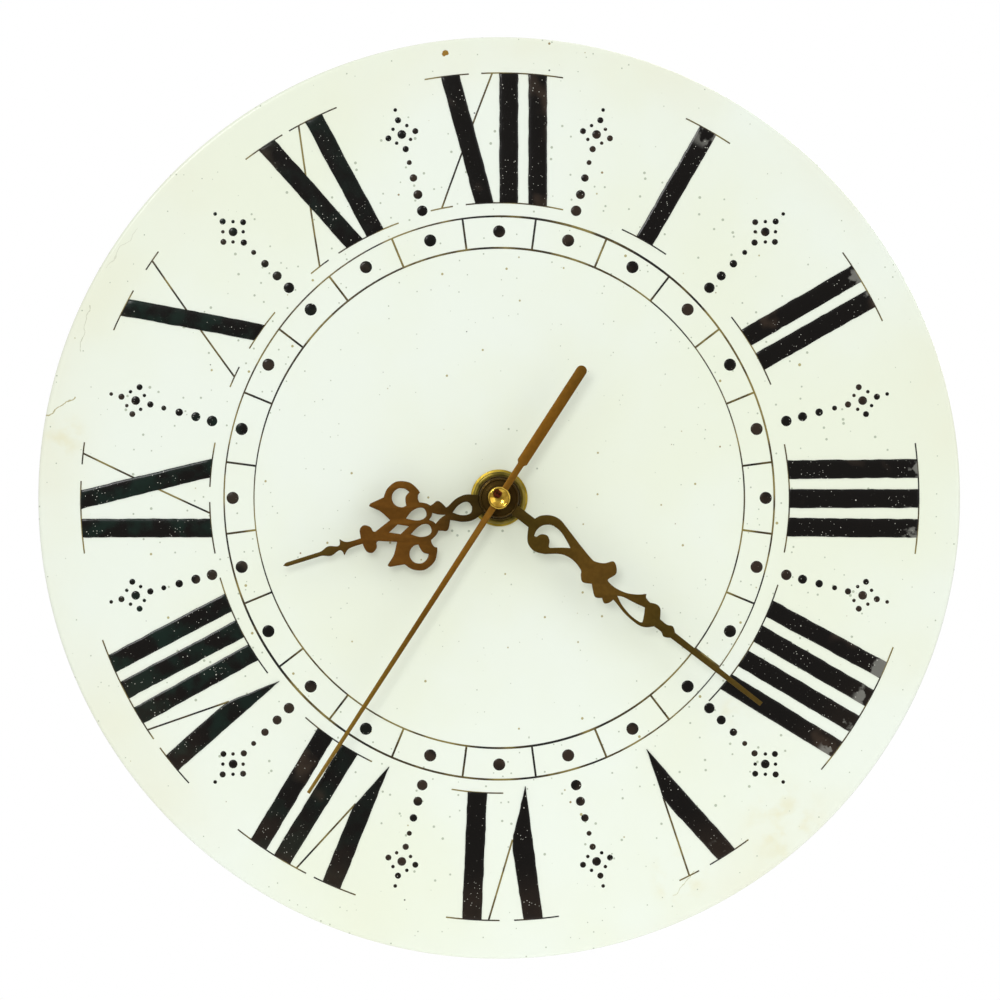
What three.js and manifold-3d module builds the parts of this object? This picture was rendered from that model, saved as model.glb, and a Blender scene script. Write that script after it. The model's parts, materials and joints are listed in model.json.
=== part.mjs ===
// Frameless wall clock: a domed enamel dial on a battery quartz movement, with pierced bronze hands.
// Millimetres, +Z up, the dial faces -Y. The origin is on the hand axis, in the plane of the wall (y = 0).
// Distances "forward" are towards -Y. A positive turn about +Y is clockwise as seen from the front.

import * as THREE from 'three';
import { mergeVertices } from 'three/addons/utils/BufferGeometryUtils.js';
import Module from 'manifold-3d';

const wasm = await Module();
wasm.setup();

const DEG = Math.PI / 180;
const FULL = 2 * Math.PI;
const GAP = 0.3;
const RUNNING_GAP = 0.4;
const CUT = 1;
const ROUND = 32;
const MEDIUM_ROUND = 24;
const ARBOR_ROUND = 16;
const SMALL_ROUND = 12;
const CORNER_STEPS = 4;
const EDGE_STEPS = 3;
const CLOSE = 0.01;

// Movement case: two plastic shells that clip together, parted at mid depth.
const CASE_SIDE = 56;
const CASE_CORNER = 4;
const CASE_WALL = 1.4;
const CASE_SKIN = 1.2;
const CASE_FRONT = -16;
const CASE_PARTING = -8;
const BAY_WALL_TOP = -10.8;
const BAY_WALL = 0.8;
const BAY_WALL_HALF = 25.2;
const BAY_WALL_REAR = -0.5;
const BAY_CORNER = 1;
const PILLARS = [[-17, 13.5], [20, 13.5], [-17, -8.5]];
const PILLAR_RADIUS = 1.5;
const POST_RADIUS = 0.7;
const POST_BORE_GAP = 0.2;

// Pieces clamped between the movement and the dial, from the wall forward.
const HANGER_SHEET = 0.8;
const HANGER_BACK = CASE_FRONT - GAP;
const GASKET_BACK = HANGER_BACK - HANGER_SHEET - GAP;
const GASKET_THICKNESS = 1.0;
const GASKET_RADIUS = 14;

// Dial: 2 mm plate, its centre 3 mm further forward than its rim.
const DIAL_RADIUS = 112.5;
const DIAL_THICKNESS = 2.0;
const DIAL_DOME = 3.0;
const DIAL_HOLE = 4.6;
const DIAL_BACK = GASKET_BACK - GASKET_THICKNESS - GAP;
const DIAL_FRONT = DIAL_BACK - DIAL_THICKNESS;
const DIAL_EDGE_RADIUS = 0.9;
const DIAL_STEPS = 5;
const DIAL_SEGMENTS = 64;

// Threaded bush with its washer and round nut.
const BUSH_RADIUS = 4.0;
const BUSH_BORE = 2.8;
const BUSH_BACK = -15.0;
const BUSH_FRONT = -24.6;
const WASHER_RADIUS = 6.95;
const WASHER_BACK = DIAL_FRONT - GAP;
const WASHER_THICKNESS = 0.5;
const NUT_RADIUS = 6.35;
const NUT_BACK = WASHER_BACK - WASHER_THICKNESS - GAP;
const NUT_THICKNESS = 2.0;
const NUT_CHAMFER = 0.35;

// Concentric arbors and the planes of the three hands.
const HOUR_TUBE_RADIUS = 2.5;
const HOUR_TUBE_BORE = 1.9;
const HOUR_TUBE_FRONT = -27.3;
const MINUTE_TUBE_RADIUS = 1.6;
const MINUTE_TUBE_BORE = 0.8;
const MINUTE_TUBE_FRONT = -29.6;
const SECOND_ARBOR_RADIUS = 0.5;
const SECOND_ARBOR_FRONT = -32.2;
const HAND_SHEET = 0.5;
const SECOND_SHEET = 0.4;
const HOUR_HAND_BACK = -26.3;
const MINUTE_HAND_BACK = -28.6;
const SECOND_HAND_BACK = -31.0;
const HOUR_HAND_ANGLE = 252.6 * DEG;
const MINUTE_HAND_ANGLE = 128.2 * DEG;
const SECOND_HAND_ANGLE = 212.9 * DEG;
const HOUR_BOSS = 5.35;
const MINUTE_BOSS = 4.9;
const SECOND_EYE = 2.4;
const SECOND_EYE_HOLE = 1.5;
const HAND_CLEARANCE = 0.4;
const HOUR_COLLET_RADIUS = 4.2;
const MINUTE_COLLET_RADIUS = 3.2;

// Polished cap of the seconds hand: a dish of [radius, depth] pairs, and a neck behind it.
const HUB_FRONT = -33.0;
const HUB_BACK = -30.2;
const HUB_DISH = [[0, 0.5], [1.2, 0.4], [2.1, 0.05], [2.5, 0], [2.73, 0.3], [2.73, 1.3]];
const HUB_NECK_RADIUS = 1.2;
const HUB_BORE_END = -32.25;

// Gear train: teeth, modules and the depth of each level, from the front of the case to its back.
const WHEEL = 1.2;
const HOUR_LEVEL = -13.2;
const MOTION_LEVEL = -11.5;
const CENTRE_LEVEL = -8.0;
const THIRD_LEVEL = -6.4;
const SECOND_LEVEL = -4.9;
const FIFTH_LEVEL = -3.4;
const MIDDLE_PLATE_BACK = -9.7;
const PLATE = 1.2;
const BRIDGE_BACK = -1.7;
const PIVOT_HOLE = 0.8;
const PIVOT_BACK = -2.1;
const PIVOT_LENGTH = 8.0;
const FIFTH_PIN_RADIUS = 0.4;
const FIFTH_PIN_LENGTH = 5.2;
const SINK = 0.1;
const TUBE_LAP = 0.3;
const CANNON_TAIL = 0.05;
const THIRD_DISTANCE = 10.8;
const MOTION_DISTANCE = 9.6;
const MOTION_MODULE = 0.4;
const CENTRE = { teeth: 64, module: 0.3 };
const THIRD_PINION = { teeth: 8, module: 0.3 };
const THIRD = { teeth: 60, module: 2 * THIRD_DISTANCE / 68 };
const SECOND_PINION = { teeth: 8, module: THIRD.module };
const SECOND = { teeth: 40, module: 0.4 };
const FIFTH_PINION = { teeth: 8, module: 0.4 };
const FIFTH = { teeth: 48, module: 0.35 };
const ROTOR_PINION = { teeth: 8, module: 0.35 };
const CANNON = { teeth: 12, module: MOTION_MODULE };
const MINUTE_WHEEL = { teeth: 36, module: MOTION_MODULE };
const MINUTE_PINION = { teeth: 10, module: 2 * MOTION_DISTANCE / 50 };
const HOUR_WHEEL = { teeth: 40, module: MINUTE_PINION.module };
const SETTING_PINION = { teeth: 12, module: MOTION_MODULE };

// Direction of each mesh, as an angle from +X towards +Z, and the centres that follow from it.
const THIRD_DIRECTION = 30 * DEG;
const FIFTH_DIRECTION = 125 * DEG;
const ROTOR_DIRECTION = 206.9 * DEG;
const MOTION_DIRECTION = -10 * DEG;
const SETTING_DIRECTION = -20.2 * DEG;
const AXIS = [0, 0];
const THIRD_AT = polar(AXIS, meshDistance(CENTRE, THIRD_PINION), THIRD_DIRECTION);
const FIFTH_AT = polar(AXIS, meshDistance(SECOND, FIFTH_PINION), FIFTH_DIRECTION);
const ROTOR_AT = polar(FIFTH_AT, meshDistance(FIFTH, ROTOR_PINION), ROTOR_DIRECTION);
const MOTION_AT = polar(AXIS, MOTION_DISTANCE, MOTION_DIRECTION);
const SETTING_AT = polar(MOTION_AT, meshDistance(MINUTE_WHEEL, SETTING_PINION), SETTING_DIRECTION);

// Battery: an AA cell lying across the bottom of the case.
const CELL_RADIUS = 7.1;
const CELL_HALF = 25.0;
const CELL_Y = -7.35;
const CELL_Z = -19.2;
const CELL_NUB_RADIUS = 2.75;
const CELL_NUB_HEIGHT = 1.0;
const CELL_BEVEL = 0.5;
const CONTACT_INNER = 25.5;
const CONTACT_OUTER = 26.0;
const CONTACT_PLATE = { rear: -1.6, front: -13.2, low: -25, high: -13.4 };
const CONTACT_LEAD = { rear: -7.2, front: -9.6, low: -14, high: 20 };

// Knob that sets the hands, sunk in the rear cover.
const KNOB_RADIUS = 5.2;
const KNOB_BACK = -0.3;
const KNOB_THICKNESS = 2.3;
const KNOB_RIBS = 24;
const KNOB_RIB_DEPTH = 0.3;
const KNOB_SLOT_HALF = 3.4;
const KNOB_SLOT_DEPTH = 0.35;
const SETTING_ARBOR_RADIUS = 1.0;
const SETTING_ARBOR_SINK = 0.8;
const SETTING_ARBOR_LENGTH = 12;

// Stepping motor.
const MAGNET_RADIUS = 2.5;
const MAGNET_BORE = 1.1;
const MAGNET_BACK = -5.2;
const MAGNET_LENGTH = 4.0;
const SLEEVE_BACK = -4.0;
const SLEEVE_LENGTH = 5.3;
const ROTOR_ARBOR_RADIUS = 0.45;
const STATOR_BACK = -6.8;
const STATOR_SHEET = 0.8;
const STATOR_LOW = -9;
const STATOR_HIGH = 15;
const STATOR_ARM = 3;
const STATOR_LEFT = -24;
const STATOR_HALF = 2.9;
const STATOR_BULGE = 1.9;
const COIL_X = -21.9;
const COIL_Y = -6.0;
const COIL_RADIUS = 3.0;
const COIL_FLANGE = 3.5;
const COIL_BARREL = 1.75;
const COIL_LOW = -5.5;
const COIL_HIGH = 11.5;
const CORE_WIDTH = 1.6;
const CORE_THICKNESS = 1.0;
const CORE_OVERHANG = 3.0;

// Circuit board along the top of the case, with its chip under a drop of resin and its crystal.
const BOARD_BACK = -8.0;
const BOARD_THICKNESS = 1.0;
const BOARD_EDGES = [-18, 25, 18, 26.2];
const BOARD_CORNER = 0.8;
const CHIP_AT = [8, 22];
const CHIP_DROP = [[0, 0], [3, 0], [2.58, 0.7], [1.5, 1.2], [0, 1.35]];
const CRYSTAL_AT = [-8, 22];
const CRYSTAL_RADIUS = 1;
const CRYSTAL_LENGTH = 6;

// Finishes.
const ENAMEL = finish(0xf0f3e7, 0.25, 0.0);
const BRONZE = finish(0x6b4a1e, 0.45, 0.8);
const MINUTE_BRONZE = finish(0x59441a, 0.45, 0.8);
const SECOND_BRONZE = finish(0x7f5a22, 0.4, 0.85);
const BRASS = finish(0xb39a45, 0.3, 1.0);
const STEEL = finish(0xb8babb, 0.35, 1.0);
const BLACK_PLASTIC = finish(0x1d1e20, 0.5, 0.0);
const GREY_PLASTIC = finish(0x3a3c3f, 0.55, 0.0);
const WHITE_PLASTIC = finish(0xe6e4dc, 0.5, 0.0);
const RUBBER = finish(0x18181a, 0.9, 0.0);
const BOARD_GREEN = finish(0x1f5a3a, 0.5, 0.0);
const COPPER = finish(0xa8592c, 0.35, 1.0);
const MAGNET = finish(0x4b4b50, 0.45, 0.6);
const CELL_LABEL = finish(0x2f5d8a, 0.4, 0.2);

// ---- helpers -------------------------------------------------------------------------------

function finish(color, roughness, metalness) {
  return new THREE.MeshStandardMaterial({ color, roughness, metalness });
}

function polar(from, distance, angle) {
  return [from[0] + distance * Math.cos(angle), from[1] + distance * Math.sin(angle)];
}

function meshDistance(a, b) {
  return a.module * (a.teeth + b.teeth) / 2;
}

// A closed geometry as a manifold solid, with coincident vertices merged and faces turned outwards.
function solid(geometry) {
  geometry.deleteAttribute('normal');
  geometry.deleteAttribute('uv');
  const merged = mergeVertices(geometry);
  const points = merged.attributes.position.array;
  const corners = merged.index.array;
  const kept = [];
  for (let i = 0; i < corners.length; i += 3) {
    const [a, b, c] = [corners[i], corners[i + 1], corners[i + 2]];
    if (a !== b && b !== c && c !== a) kept.push(a, b, c);
  }
  const made = manifold(points, kept);
  if (made.volume() > 0) return made;
  for (let i = 0; i < kept.length; i += 3) [kept[i], kept[i + 1]] = [kept[i + 1], kept[i]];
  return manifold(points, kept);
}

function manifold(points, corners) {
  const vertProperties = Float32Array.from(points);
  const triVerts = Uint32Array.from(corners);
  return new wasm.Manifold(new wasm.Mesh({ numProp: 3, vertProperties, triVerts }));
}

function join(solids) {
  return solids.reduce((whole, next) => whole.add(next));
}

// A flat outline in X and Z, carried forward from the plane y = back.
function sheet(shape, back, thickness, curveSegments = 6) {
  const settings = { depth: thickness, bevelEnabled: false, curveSegments };
  const geometry = new THREE.ExtrudeGeometry(shape, settings);
  geometry.rotateX(Math.PI / 2);
  geometry.translate(0, back, 0);
  return solid(geometry);
}

// A profile of [radius, y] pairs turned about the Y axis.
function turned(profile, segments = ROUND) {
  const points = profile.map(([radius, y]) => new THREE.Vector2(radius, y));
  return solid(new THREE.LatheGeometry(points, segments));
}

// A plain ring or disc about the Y axis, with chamfered outer edges when asked for.
function ring(inner, outer, back, thickness, segments = ROUND, chamfer = 0) {
  const front = back - thickness;
  const profile = [[inner, front], [outer - chamfer, front]];
  if (chamfer > 0) profile.push([outer, front + chamfer], [outer, back - chamfer]);
  profile.push([outer - chamfer, back], [inner, back]);
  if (inner > 0) profile.push([inner, front]);
  return turned(profile, segments);
}

function at([x, z], made) {
  return made.translate([x, 0, z]);
}

function box(x0, x1, y0, y1, z0, z1) {
  const geometry = new THREE.BoxGeometry(x1 - x0, y1 - y0, z1 - z0);
  geometry.translate((x0 + x1) / 2, (y0 + y1) / 2, (z0 + z1) / 2);
  return solid(geometry);
}

function piece(name, made, material, parent) {
  const { vertProperties, triVerts } = made.getMesh();
  const geometry = new THREE.BufferGeometry();
  geometry.setAttribute('position', new THREE.BufferAttribute(vertProperties, 3));
  geometry.setIndex(new THREE.BufferAttribute(triVerts, 1));
  geometry.computeVertexNormals();
  const mesh = new THREE.Mesh(geometry, material);
  mesh.name = name;
  parent.add(mesh);
  return mesh;
}

function roundedRectangle(x0, x1, z0, z1, radius, PathClass = THREE.Shape) {
  const path = new PathClass();
  path.moveTo(x0 + radius, z0);
  path.absarc(x1 - radius, z0 + radius, radius, -Math.PI / 2, 0);
  path.absarc(x1 - radius, z1 - radius, radius, 0, Math.PI / 2);
  path.absarc(x0 + radius, z1 - radius, radius, Math.PI / 2, Math.PI);
  path.absarc(x0 + radius, z0 + radius, radius, Math.PI, 1.5 * Math.PI);
  path.closePath();
  return path;
}

function circle([x, z], radius, PathClass = THREE.Path) {
  const path = new PathClass();
  path.absarc(x, z, radius, 0, FULL);
  return path;
}

// A path along stretches: a stretch of two points is straight, a longer one is a smooth curve.
function trace(stretches, steps) {
  const points = [];
  for (const stretch of stretches) {
    const knots = stretch.map(([u, v]) => new THREE.Vector2(-v, u));
    const smooth = new THREE.SplineCurve(knots).getPoints(steps * (knots.length - 1));
    points.push(...(knots.length > 2 ? smooth : knots));
  }
  const distinct = points.filter((p, i) => p.distanceTo(points[(i + 1) % points.length]) > CLOSE);
  return new THREE.Shape(distinct);
}

// The same stretches on both sides of the hand's centre line, as one closed outline.
function mirrored(stretches) {
  const other = stretches.map((stretch) => stretch.map(([u, v]) => [u, -v]).reverse()).reverse();
  return [...stretches, ...other];
}

// ---- gears ---------------------------------------------------------------------------------

const TIP = 0.8;
const ROOT = 1.25;
const TIP_SHARE = 0.11;
const ROOT_SHARE = 0.24;

// Spur gear outline with one tooth centred on the angle phase; the teeth are slim, to leave backlash.
function gearShape({ teeth, module }, phase) {
  const tip = module * (teeth / 2 + TIP);
  const root = module * (teeth / 2 - ROOT);
  const pitch = FULL / teeth;
  const points = [];
  for (let tooth = 0; tooth < teeth; tooth += 1) {
    const middle = phase + tooth * pitch;
    const corners = [[root, -ROOT_SHARE], [tip, -TIP_SHARE], [tip, TIP_SHARE], [root, ROOT_SHARE]];
    for (const [radius, share] of corners) {
      const angle = middle + share * pitch;
      points.push(new THREE.Vector2(radius * Math.cos(angle), radius * Math.sin(angle)));
    }
  }
  return new THREE.Shape(points);
}

function gear(spec, phase, back, thickness = WHEEL, bore = 0) {
  const shape = gearShape(spec, phase);
  if (bore > 0) shape.holes.push(circle(AXIS, bore));
  return sheet(shape, back, thickness);
}

// Phase of a gear that has a gap, not a tooth, on the line towards its neighbour.
function gapTowards(direction, { teeth }) {
  return direction + Math.PI / teeth;
}

// ---- dial and fixings ----------------------------------------------------------------------

function dial() {
  const sag = (radius) => DIAL_DOME * (radius / DIAL_RADIUS) ** 2;
  const rim = DIAL_RADIUS - DIAL_EDGE_RADIUS;
  const profile = [];
  for (let i = 0; i <= DIAL_STEPS; i += 1) {
    const radius = DIAL_HOLE + (rim - DIAL_HOLE) * i / DIAL_STEPS;
    profile.push([radius, DIAL_FRONT + sag(radius)]);
  }
  profile.push([DIAL_RADIUS, DIAL_FRONT + DIAL_DOME + DIAL_EDGE_RADIUS]);
  profile.push([DIAL_RADIUS, DIAL_BACK + DIAL_DOME - DIAL_EDGE_RADIUS / 2]);
  for (let i = DIAL_STEPS; i >= 0; i -= 1) {
    const radius = DIAL_HOLE + (rim - DIAL_HOLE) * i / DIAL_STEPS;
    profile.push([radius, DIAL_BACK + sag(radius)]);
  }
  profile.push([DIAL_HOLE, DIAL_FRONT + sag(DIAL_HOLE)]);
  return turned(profile, DIAL_SEGMENTS);
}

function threadedBush() {
  return ring(BUSH_BORE, BUSH_RADIUS, BUSH_BACK, BUSH_BACK - BUSH_FRONT);
}

function brassWasher() {
  return ring(BUSH_RADIUS + GAP, WASHER_RADIUS, WASHER_BACK, WASHER_THICKNESS);
}

function mountingNut() {
  return ring(BUSH_RADIUS + GAP, NUT_RADIUS, NUT_BACK, NUT_THICKNESS, ROUND, NUT_CHAMFER);
}

function rubberGasket() {
  return ring(BUSH_RADIUS + GAP, GASKET_RADIUS, GASKET_BACK, GASKET_THICKNESS);
}

const HANGER_HALF = 15;
const HANGER_LOW = -13;
const HANGER_TOP = CASE_SIDE / 2 + 0.6;
const HANGER_REAR = -1.1;
const TAB_HALF = 9;
const TAB_TOP = 48;
const KEYHOLE_Z = 37.5;
const KEYHOLE_RADIUS = 3.3;
const KEYHOLE_SLOT = 1.7;
const KEYHOLE_SLOT_TOP = 43.5;
const STRAP_CORNER = 2;
const TAB_CORNER = 3;

// Steel strap: down the front of the case, back over its top, and up in a tab with a keyhole.
function hangerPlate() {
  const top = HANGER_TOP + HANGER_SHEET;
  const front = roundedRectangle(-HANGER_HALF, HANGER_HALF, HANGER_LOW, top, STRAP_CORNER);
  front.holes.push(circle(AXIS, BUSH_RADIUS + GAP));
  const back = HANGER_BACK - HANGER_SHEET;
  const over = box(-TAB_HALF, TAB_HALF, back, HANGER_REAR, HANGER_TOP, top);
  const tab = roundedRectangle(-TAB_HALF, TAB_HALF, HANGER_TOP, TAB_TOP, TAB_CORNER);
  tab.holes.push(circle([0, KEYHOLE_Z], KEYHOLE_RADIUS));
  const half = KEYHOLE_SLOT;
  const slot = roundedRectangle(-half, half, KEYHOLE_Z, KEYHOLE_SLOT_TOP, half - CLOSE);
  const strap = sheet(front, HANGER_BACK, HANGER_SHEET);
  const plate = join([strap, over, sheet(tab, HANGER_REAR, HANGER_SHEET)]);
  return plate.subtract(sheet(slot, HANGER_REAR + CUT, HANGER_SHEET + 2 * CUT));
}

// ---- movement case -------------------------------------------------------------------------

function caseOutline(inset = 0, PathClass = THREE.Shape) {
  const half = CASE_SIDE / 2 - inset;
  return roundedRectangle(-half, half, -half, half, CASE_CORNER - inset, PathClass);
}

function caseWalls(back, depth) {
  const shape = caseOutline();
  shape.holes.push(caseOutline(CASE_WALL, THREE.Path));
  return sheet(shape, back, depth, CORNER_STEPS);
}

function frontCase() {
  const parting = CASE_PARTING - GAP / 2;
  const inside = CASE_FRONT + CASE_SKIN;
  const skin = caseOutline();
  skin.holes.push(circle(AXIS, BUSH_RADIUS + GAP));
  const bayLow = BAY_WALL_TOP - BAY_WALL;
  const bay = box(-BAY_WALL_HALF, BAY_WALL_HALF, inside - SINK, parting, bayLow, BAY_WALL_TOP);
  const back = MIDDLE_PLATE_BACK - PLATE - GAP;
  const length = back - inside + CASE_SKIN / 2;
  const post = at(MOTION_AT, ring(0, POST_RADIUS, back, length, SMALL_ROUND));
  const pillars = PILLARS.map((where) => at(where, ring(0, PILLAR_RADIUS, back, length, SMALL_ROUND)));
  const walls = caseWalls(parting, parting - CASE_FRONT);
  return join([walls, sheet(skin, inside, CASE_SKIN), bay, post, ...pillars]);
}

// The rear cover leaves the battery bay open to the back, and the knob turns in a round well.
function rearCover() {
  const parting = CASE_PARTING + GAP / 2;
  const skin = caseOutline();
  const bayHalf = CASE_SIDE / 2 - CASE_WALL - GAP;
  const bayTop = BAY_WALL_TOP - BAY_WALL;
  skin.holes.push(roundedRectangle(-bayHalf, bayHalf, -bayHalf, bayTop, BAY_CORNER, THREE.Path));
  skin.holes.push(circle(SETTING_AT, KNOB_RADIUS + GAP));
  const bay = box(-BAY_WALL_HALF, BAY_WALL_HALF, parting, BAY_WALL_REAR, bayTop, BAY_WALL_TOP);
  return join([caseWalls(0, -parting), sheet(skin, 0, CASE_SKIN), bay]);
}

const MIDDLE_PLATE_EDGES = [-18.5, 22.5, -10.3, 17.3];
const MIDDLE_PLATE_CORNER = 2;

function middlePlate() {
  const shape = roundedRectangle(...MIDDLE_PLATE_EDGES, MIDDLE_PLATE_CORNER);
  shape.holes.push(circle(AXIS, MINUTE_TUBE_RADIUS + RUNNING_GAP));
  shape.holes.push(circle(SETTING_AT, SETTING_ARBOR_RADIUS + RUNNING_GAP));
  shape.holes.push(circle(THIRD_AT, PIVOT_HOLE));
  shape.holes.push(circle(ROTOR_AT, PIVOT_HOLE));
  return sheet(shape, MIDDLE_PLATE_BACK, PLATE);
}

const BRIDGE_CORNERS = [
  [-17.5, 1], [-9.8, -10.3], [12.9, -9.4], [12.6, 8.5], [6.6, 17.5], [3.2, 17.5], [-17.5, 7],
];
const BRIDGE_PILLARS = [[-8, -9], [11.5, -8], [5, 16.2]];
const BRIDGE_PILLAR_RADIUS = 1.3;

function trainBridge() {
  const shape = new THREE.Shape(BRIDGE_CORNERS.map(([x, z]) => new THREE.Vector2(x, z)));
  for (const where of [AXIS, THIRD_AT, ROTOR_AT]) shape.holes.push(circle(where, PIVOT_HOLE));
  const reach = BRIDGE_BACK - MIDDLE_PLATE_BACK - GAP;
  const pillar = ring(0, BRIDGE_PILLAR_RADIUS, BRIDGE_BACK, reach, SMALL_ROUND);
  const pillars = BRIDGE_PILLARS.map((where) => at(where, pillar));
  const pin = at(FIFTH_AT, ring(0, FIFTH_PIN_RADIUS, BRIDGE_BACK, FIFTH_PIN_LENGTH, SMALL_ROUND));
  return join([sheet(shape, BRIDGE_BACK, PLATE), ...pillars, pin]);
}

// ---- wheels --------------------------------------------------------------------------------

// A pinion moulded in one with the wheel behind it, longer than the wheel's rim by the extra length.
function pinionAhead(spec, phase, level, extra) {
  return gear(spec, phase, level - WHEEL + SINK, WHEEL + extra);
}

function rotorPinion() {
  const towardsFifth = ROTOR_DIRECTION + Math.PI;
  const pinion = gear(ROTOR_PINION, towardsFifth, FIFTH_LEVEL);
  const sleeve = ring(0, MAGNET_BORE - GAP, SLEEVE_BACK, SLEEVE_LENGTH, ARBOR_ROUND);
  const arbor = ring(0, ROTOR_ARBOR_RADIUS, PIVOT_BACK, PIVOT_LENGTH, ARBOR_ROUND);
  return join([pinion, sleeve, arbor]);
}

function fifthWheel() {
  const wheel = gear(FIFTH, gapTowards(ROTOR_DIRECTION, FIFTH), FIFTH_LEVEL);
  const towardsAxis = FIFTH_DIRECTION + Math.PI;
  const pinion = pinionAhead(FIFTH_PINION, towardsAxis, FIFTH_LEVEL, 0.4);
  const bore = ring(0, FIFTH_PIN_RADIUS + POST_BORE_GAP, 0, -CASE_FRONT, SMALL_ROUND);
  return join([wheel, pinion]).subtract(bore);
}

function secondWheel() {
  const wheel = gear(SECOND, gapTowards(FIFTH_DIRECTION, SECOND), SECOND_LEVEL);
  const pinion = pinionAhead(SECOND_PINION, THIRD_DIRECTION, SECOND_LEVEL, 0.4);
  const length = PIVOT_BACK - SECOND_ARBOR_FRONT;
  const arbor = ring(0, SECOND_ARBOR_RADIUS, PIVOT_BACK, length, ARBOR_ROUND);
  return join([wheel, pinion, arbor]);
}

function thirdWheel() {
  const towardsAxis = THIRD_DIRECTION + Math.PI;
  const wheel = gear(THIRD, gapTowards(towardsAxis, THIRD), THIRD_LEVEL);
  const pinion = pinionAhead(THIRD_PINION, towardsAxis, THIRD_LEVEL, 0.5);
  const arbor = ring(0, SECOND_ARBOR_RADIUS, PIVOT_BACK, PIVOT_LENGTH, ARBOR_ROUND);
  return join([wheel, pinion, arbor]);
}

function centreWheel() {
  const phase = gapTowards(THIRD_DIRECTION, CENTRE);
  return gear(CENTRE, phase, CENTRE_LEVEL, WHEEL, MINUTE_TUBE_RADIUS + GAP);
}

// Tube that carries the minute hand, with the cannon pinion on its rear part.
function minuteArbor() {
  const back = CENTRE_LEVEL + CANNON_TAIL;
  const length = back - MINUTE_TUBE_FRONT;
  const tube = ring(MINUTE_TUBE_BORE, MINUTE_TUBE_RADIUS, back, length, MEDIUM_ROUND);
  const cannon = gear(CANNON, MOTION_DIRECTION, MOTION_LEVEL, WHEEL, MINUTE_TUBE_BORE + TUBE_LAP);
  return join([tube, cannon]);
}

function minuteWheel() {
  const towardsAxis = MOTION_DIRECTION + Math.PI;
  const wheel = gear(MINUTE_WHEEL, gapTowards(towardsAxis, MINUTE_WHEEL), MOTION_LEVEL);
  const pinion = pinionAhead(MINUTE_PINION, towardsAxis, MOTION_LEVEL, 0.6);
  const bore = ring(0, POST_RADIUS + POST_BORE_GAP, 0, -CASE_FRONT, SMALL_ROUND);
  return join([wheel, pinion]).subtract(bore);
}

function hourWheel() {
  const phase = gapTowards(MOTION_DIRECTION, HOUR_WHEEL);
  const wheel = gear(HOUR_WHEEL, phase, HOUR_LEVEL, WHEEL, HOUR_TUBE_BORE + TUBE_LAP);
  const length = HOUR_LEVEL - HOUR_TUBE_FRONT;
  const tube = ring(HOUR_TUBE_BORE, HOUR_TUBE_RADIUS, HOUR_LEVEL, length, MEDIUM_ROUND);
  return join([wheel, tube]);
}

// The minute wheel's phase is set by the cannon pinion, so the setting pinion's follows from it.
function settingArbor() {
  const wheelPhase = gapTowards(MOTION_DIRECTION + Math.PI, MINUTE_WHEEL);
  const lead = (wheelPhase - SETTING_DIRECTION) * MINUTE_WHEEL.teeth / SETTING_PINION.teeth;
  const phase = gapTowards(SETTING_DIRECTION + Math.PI, SETTING_PINION) - lead;
  const pinion = gear(SETTING_PINION, phase, MOTION_LEVEL);
  const back = KNOB_BACK - SETTING_ARBOR_SINK;
  const arbor = ring(0, SETTING_ARBOR_RADIUS, back, SETTING_ARBOR_LENGTH, ARBOR_ROUND);
  return join([pinion, arbor]);
}

function settingKnob() {
  const points = [];
  for (let i = 0; i < 2 * KNOB_RIBS; i += 1) {
    const angle = i * Math.PI / KNOB_RIBS;
    const radius = KNOB_RADIUS - (i % 2) * KNOB_RIB_DEPTH;
    points.push(new THREE.Vector2(radius * Math.cos(angle), radius * Math.sin(angle)));
  }
  const body = sheet(new THREE.Shape(points), KNOB_BACK, KNOB_THICKNESS);
  const boreBack = KNOB_BACK - SETTING_ARBOR_SINK + GAP;
  const bore = ring(0, SETTING_ARBOR_RADIUS + GAP, boreBack, SETTING_ARBOR_LENGTH, ARBOR_ROUND);
  const [half, floor] = [KNOB_SLOT_HALF, KNOB_BACK - KNOB_SLOT_DEPTH];
  const slot = box(-half, half, floor, CUT, -SETTING_ARBOR_RADIUS / 2, SETTING_ARBOR_RADIUS / 2);
  return body.subtract(bore).subtract(slot);
}

// ---- stepping motor and electronics ---------------------------------------------------------

function rotorMagnet() {
  return ring(MAGNET_BORE, MAGNET_RADIUS, MAGNET_BACK, MAGNET_LENGTH);
}

function stator() {
  const x = ROTOR_AT[0];
  const front = STATOR_BACK - STATOR_SHEET;
  const strip = box(x - STATOR_HALF, x + STATOR_HALF, front, STATOR_BACK, STATOR_LOW, STATOR_HIGH);
  const arm = (low) => box(STATOR_LEFT, x, front, STATOR_BACK, low, low + STATOR_ARM);
  const bulge = at(ROTOR_AT, ring(0, MAGNET_RADIUS + STATOR_BULGE, STATOR_BACK, STATOR_SHEET));
  const hole = at(ROTOR_AT, ring(0, MAGNET_RADIUS + RUNNING_GAP, 0, -CASE_FRONT));
  return join([strip, bulge, arm(STATOR_LOW), arm(STATOR_HIGH - STATOR_ARM)]).subtract(hole);
}

// A solid of circles about the coil's upright axis: [radius, z] pairs.
function upright(profile) {
  const points = profile.map(([radius, z]) => new THREE.Vector2(radius, z));
  const geometry = new THREE.LatheGeometry(points, MEDIUM_ROUND);
  geometry.rotateX(Math.PI / 2);
  geometry.translate(COIL_X, COIL_Y, 0);
  return solid(geometry);
}

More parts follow.
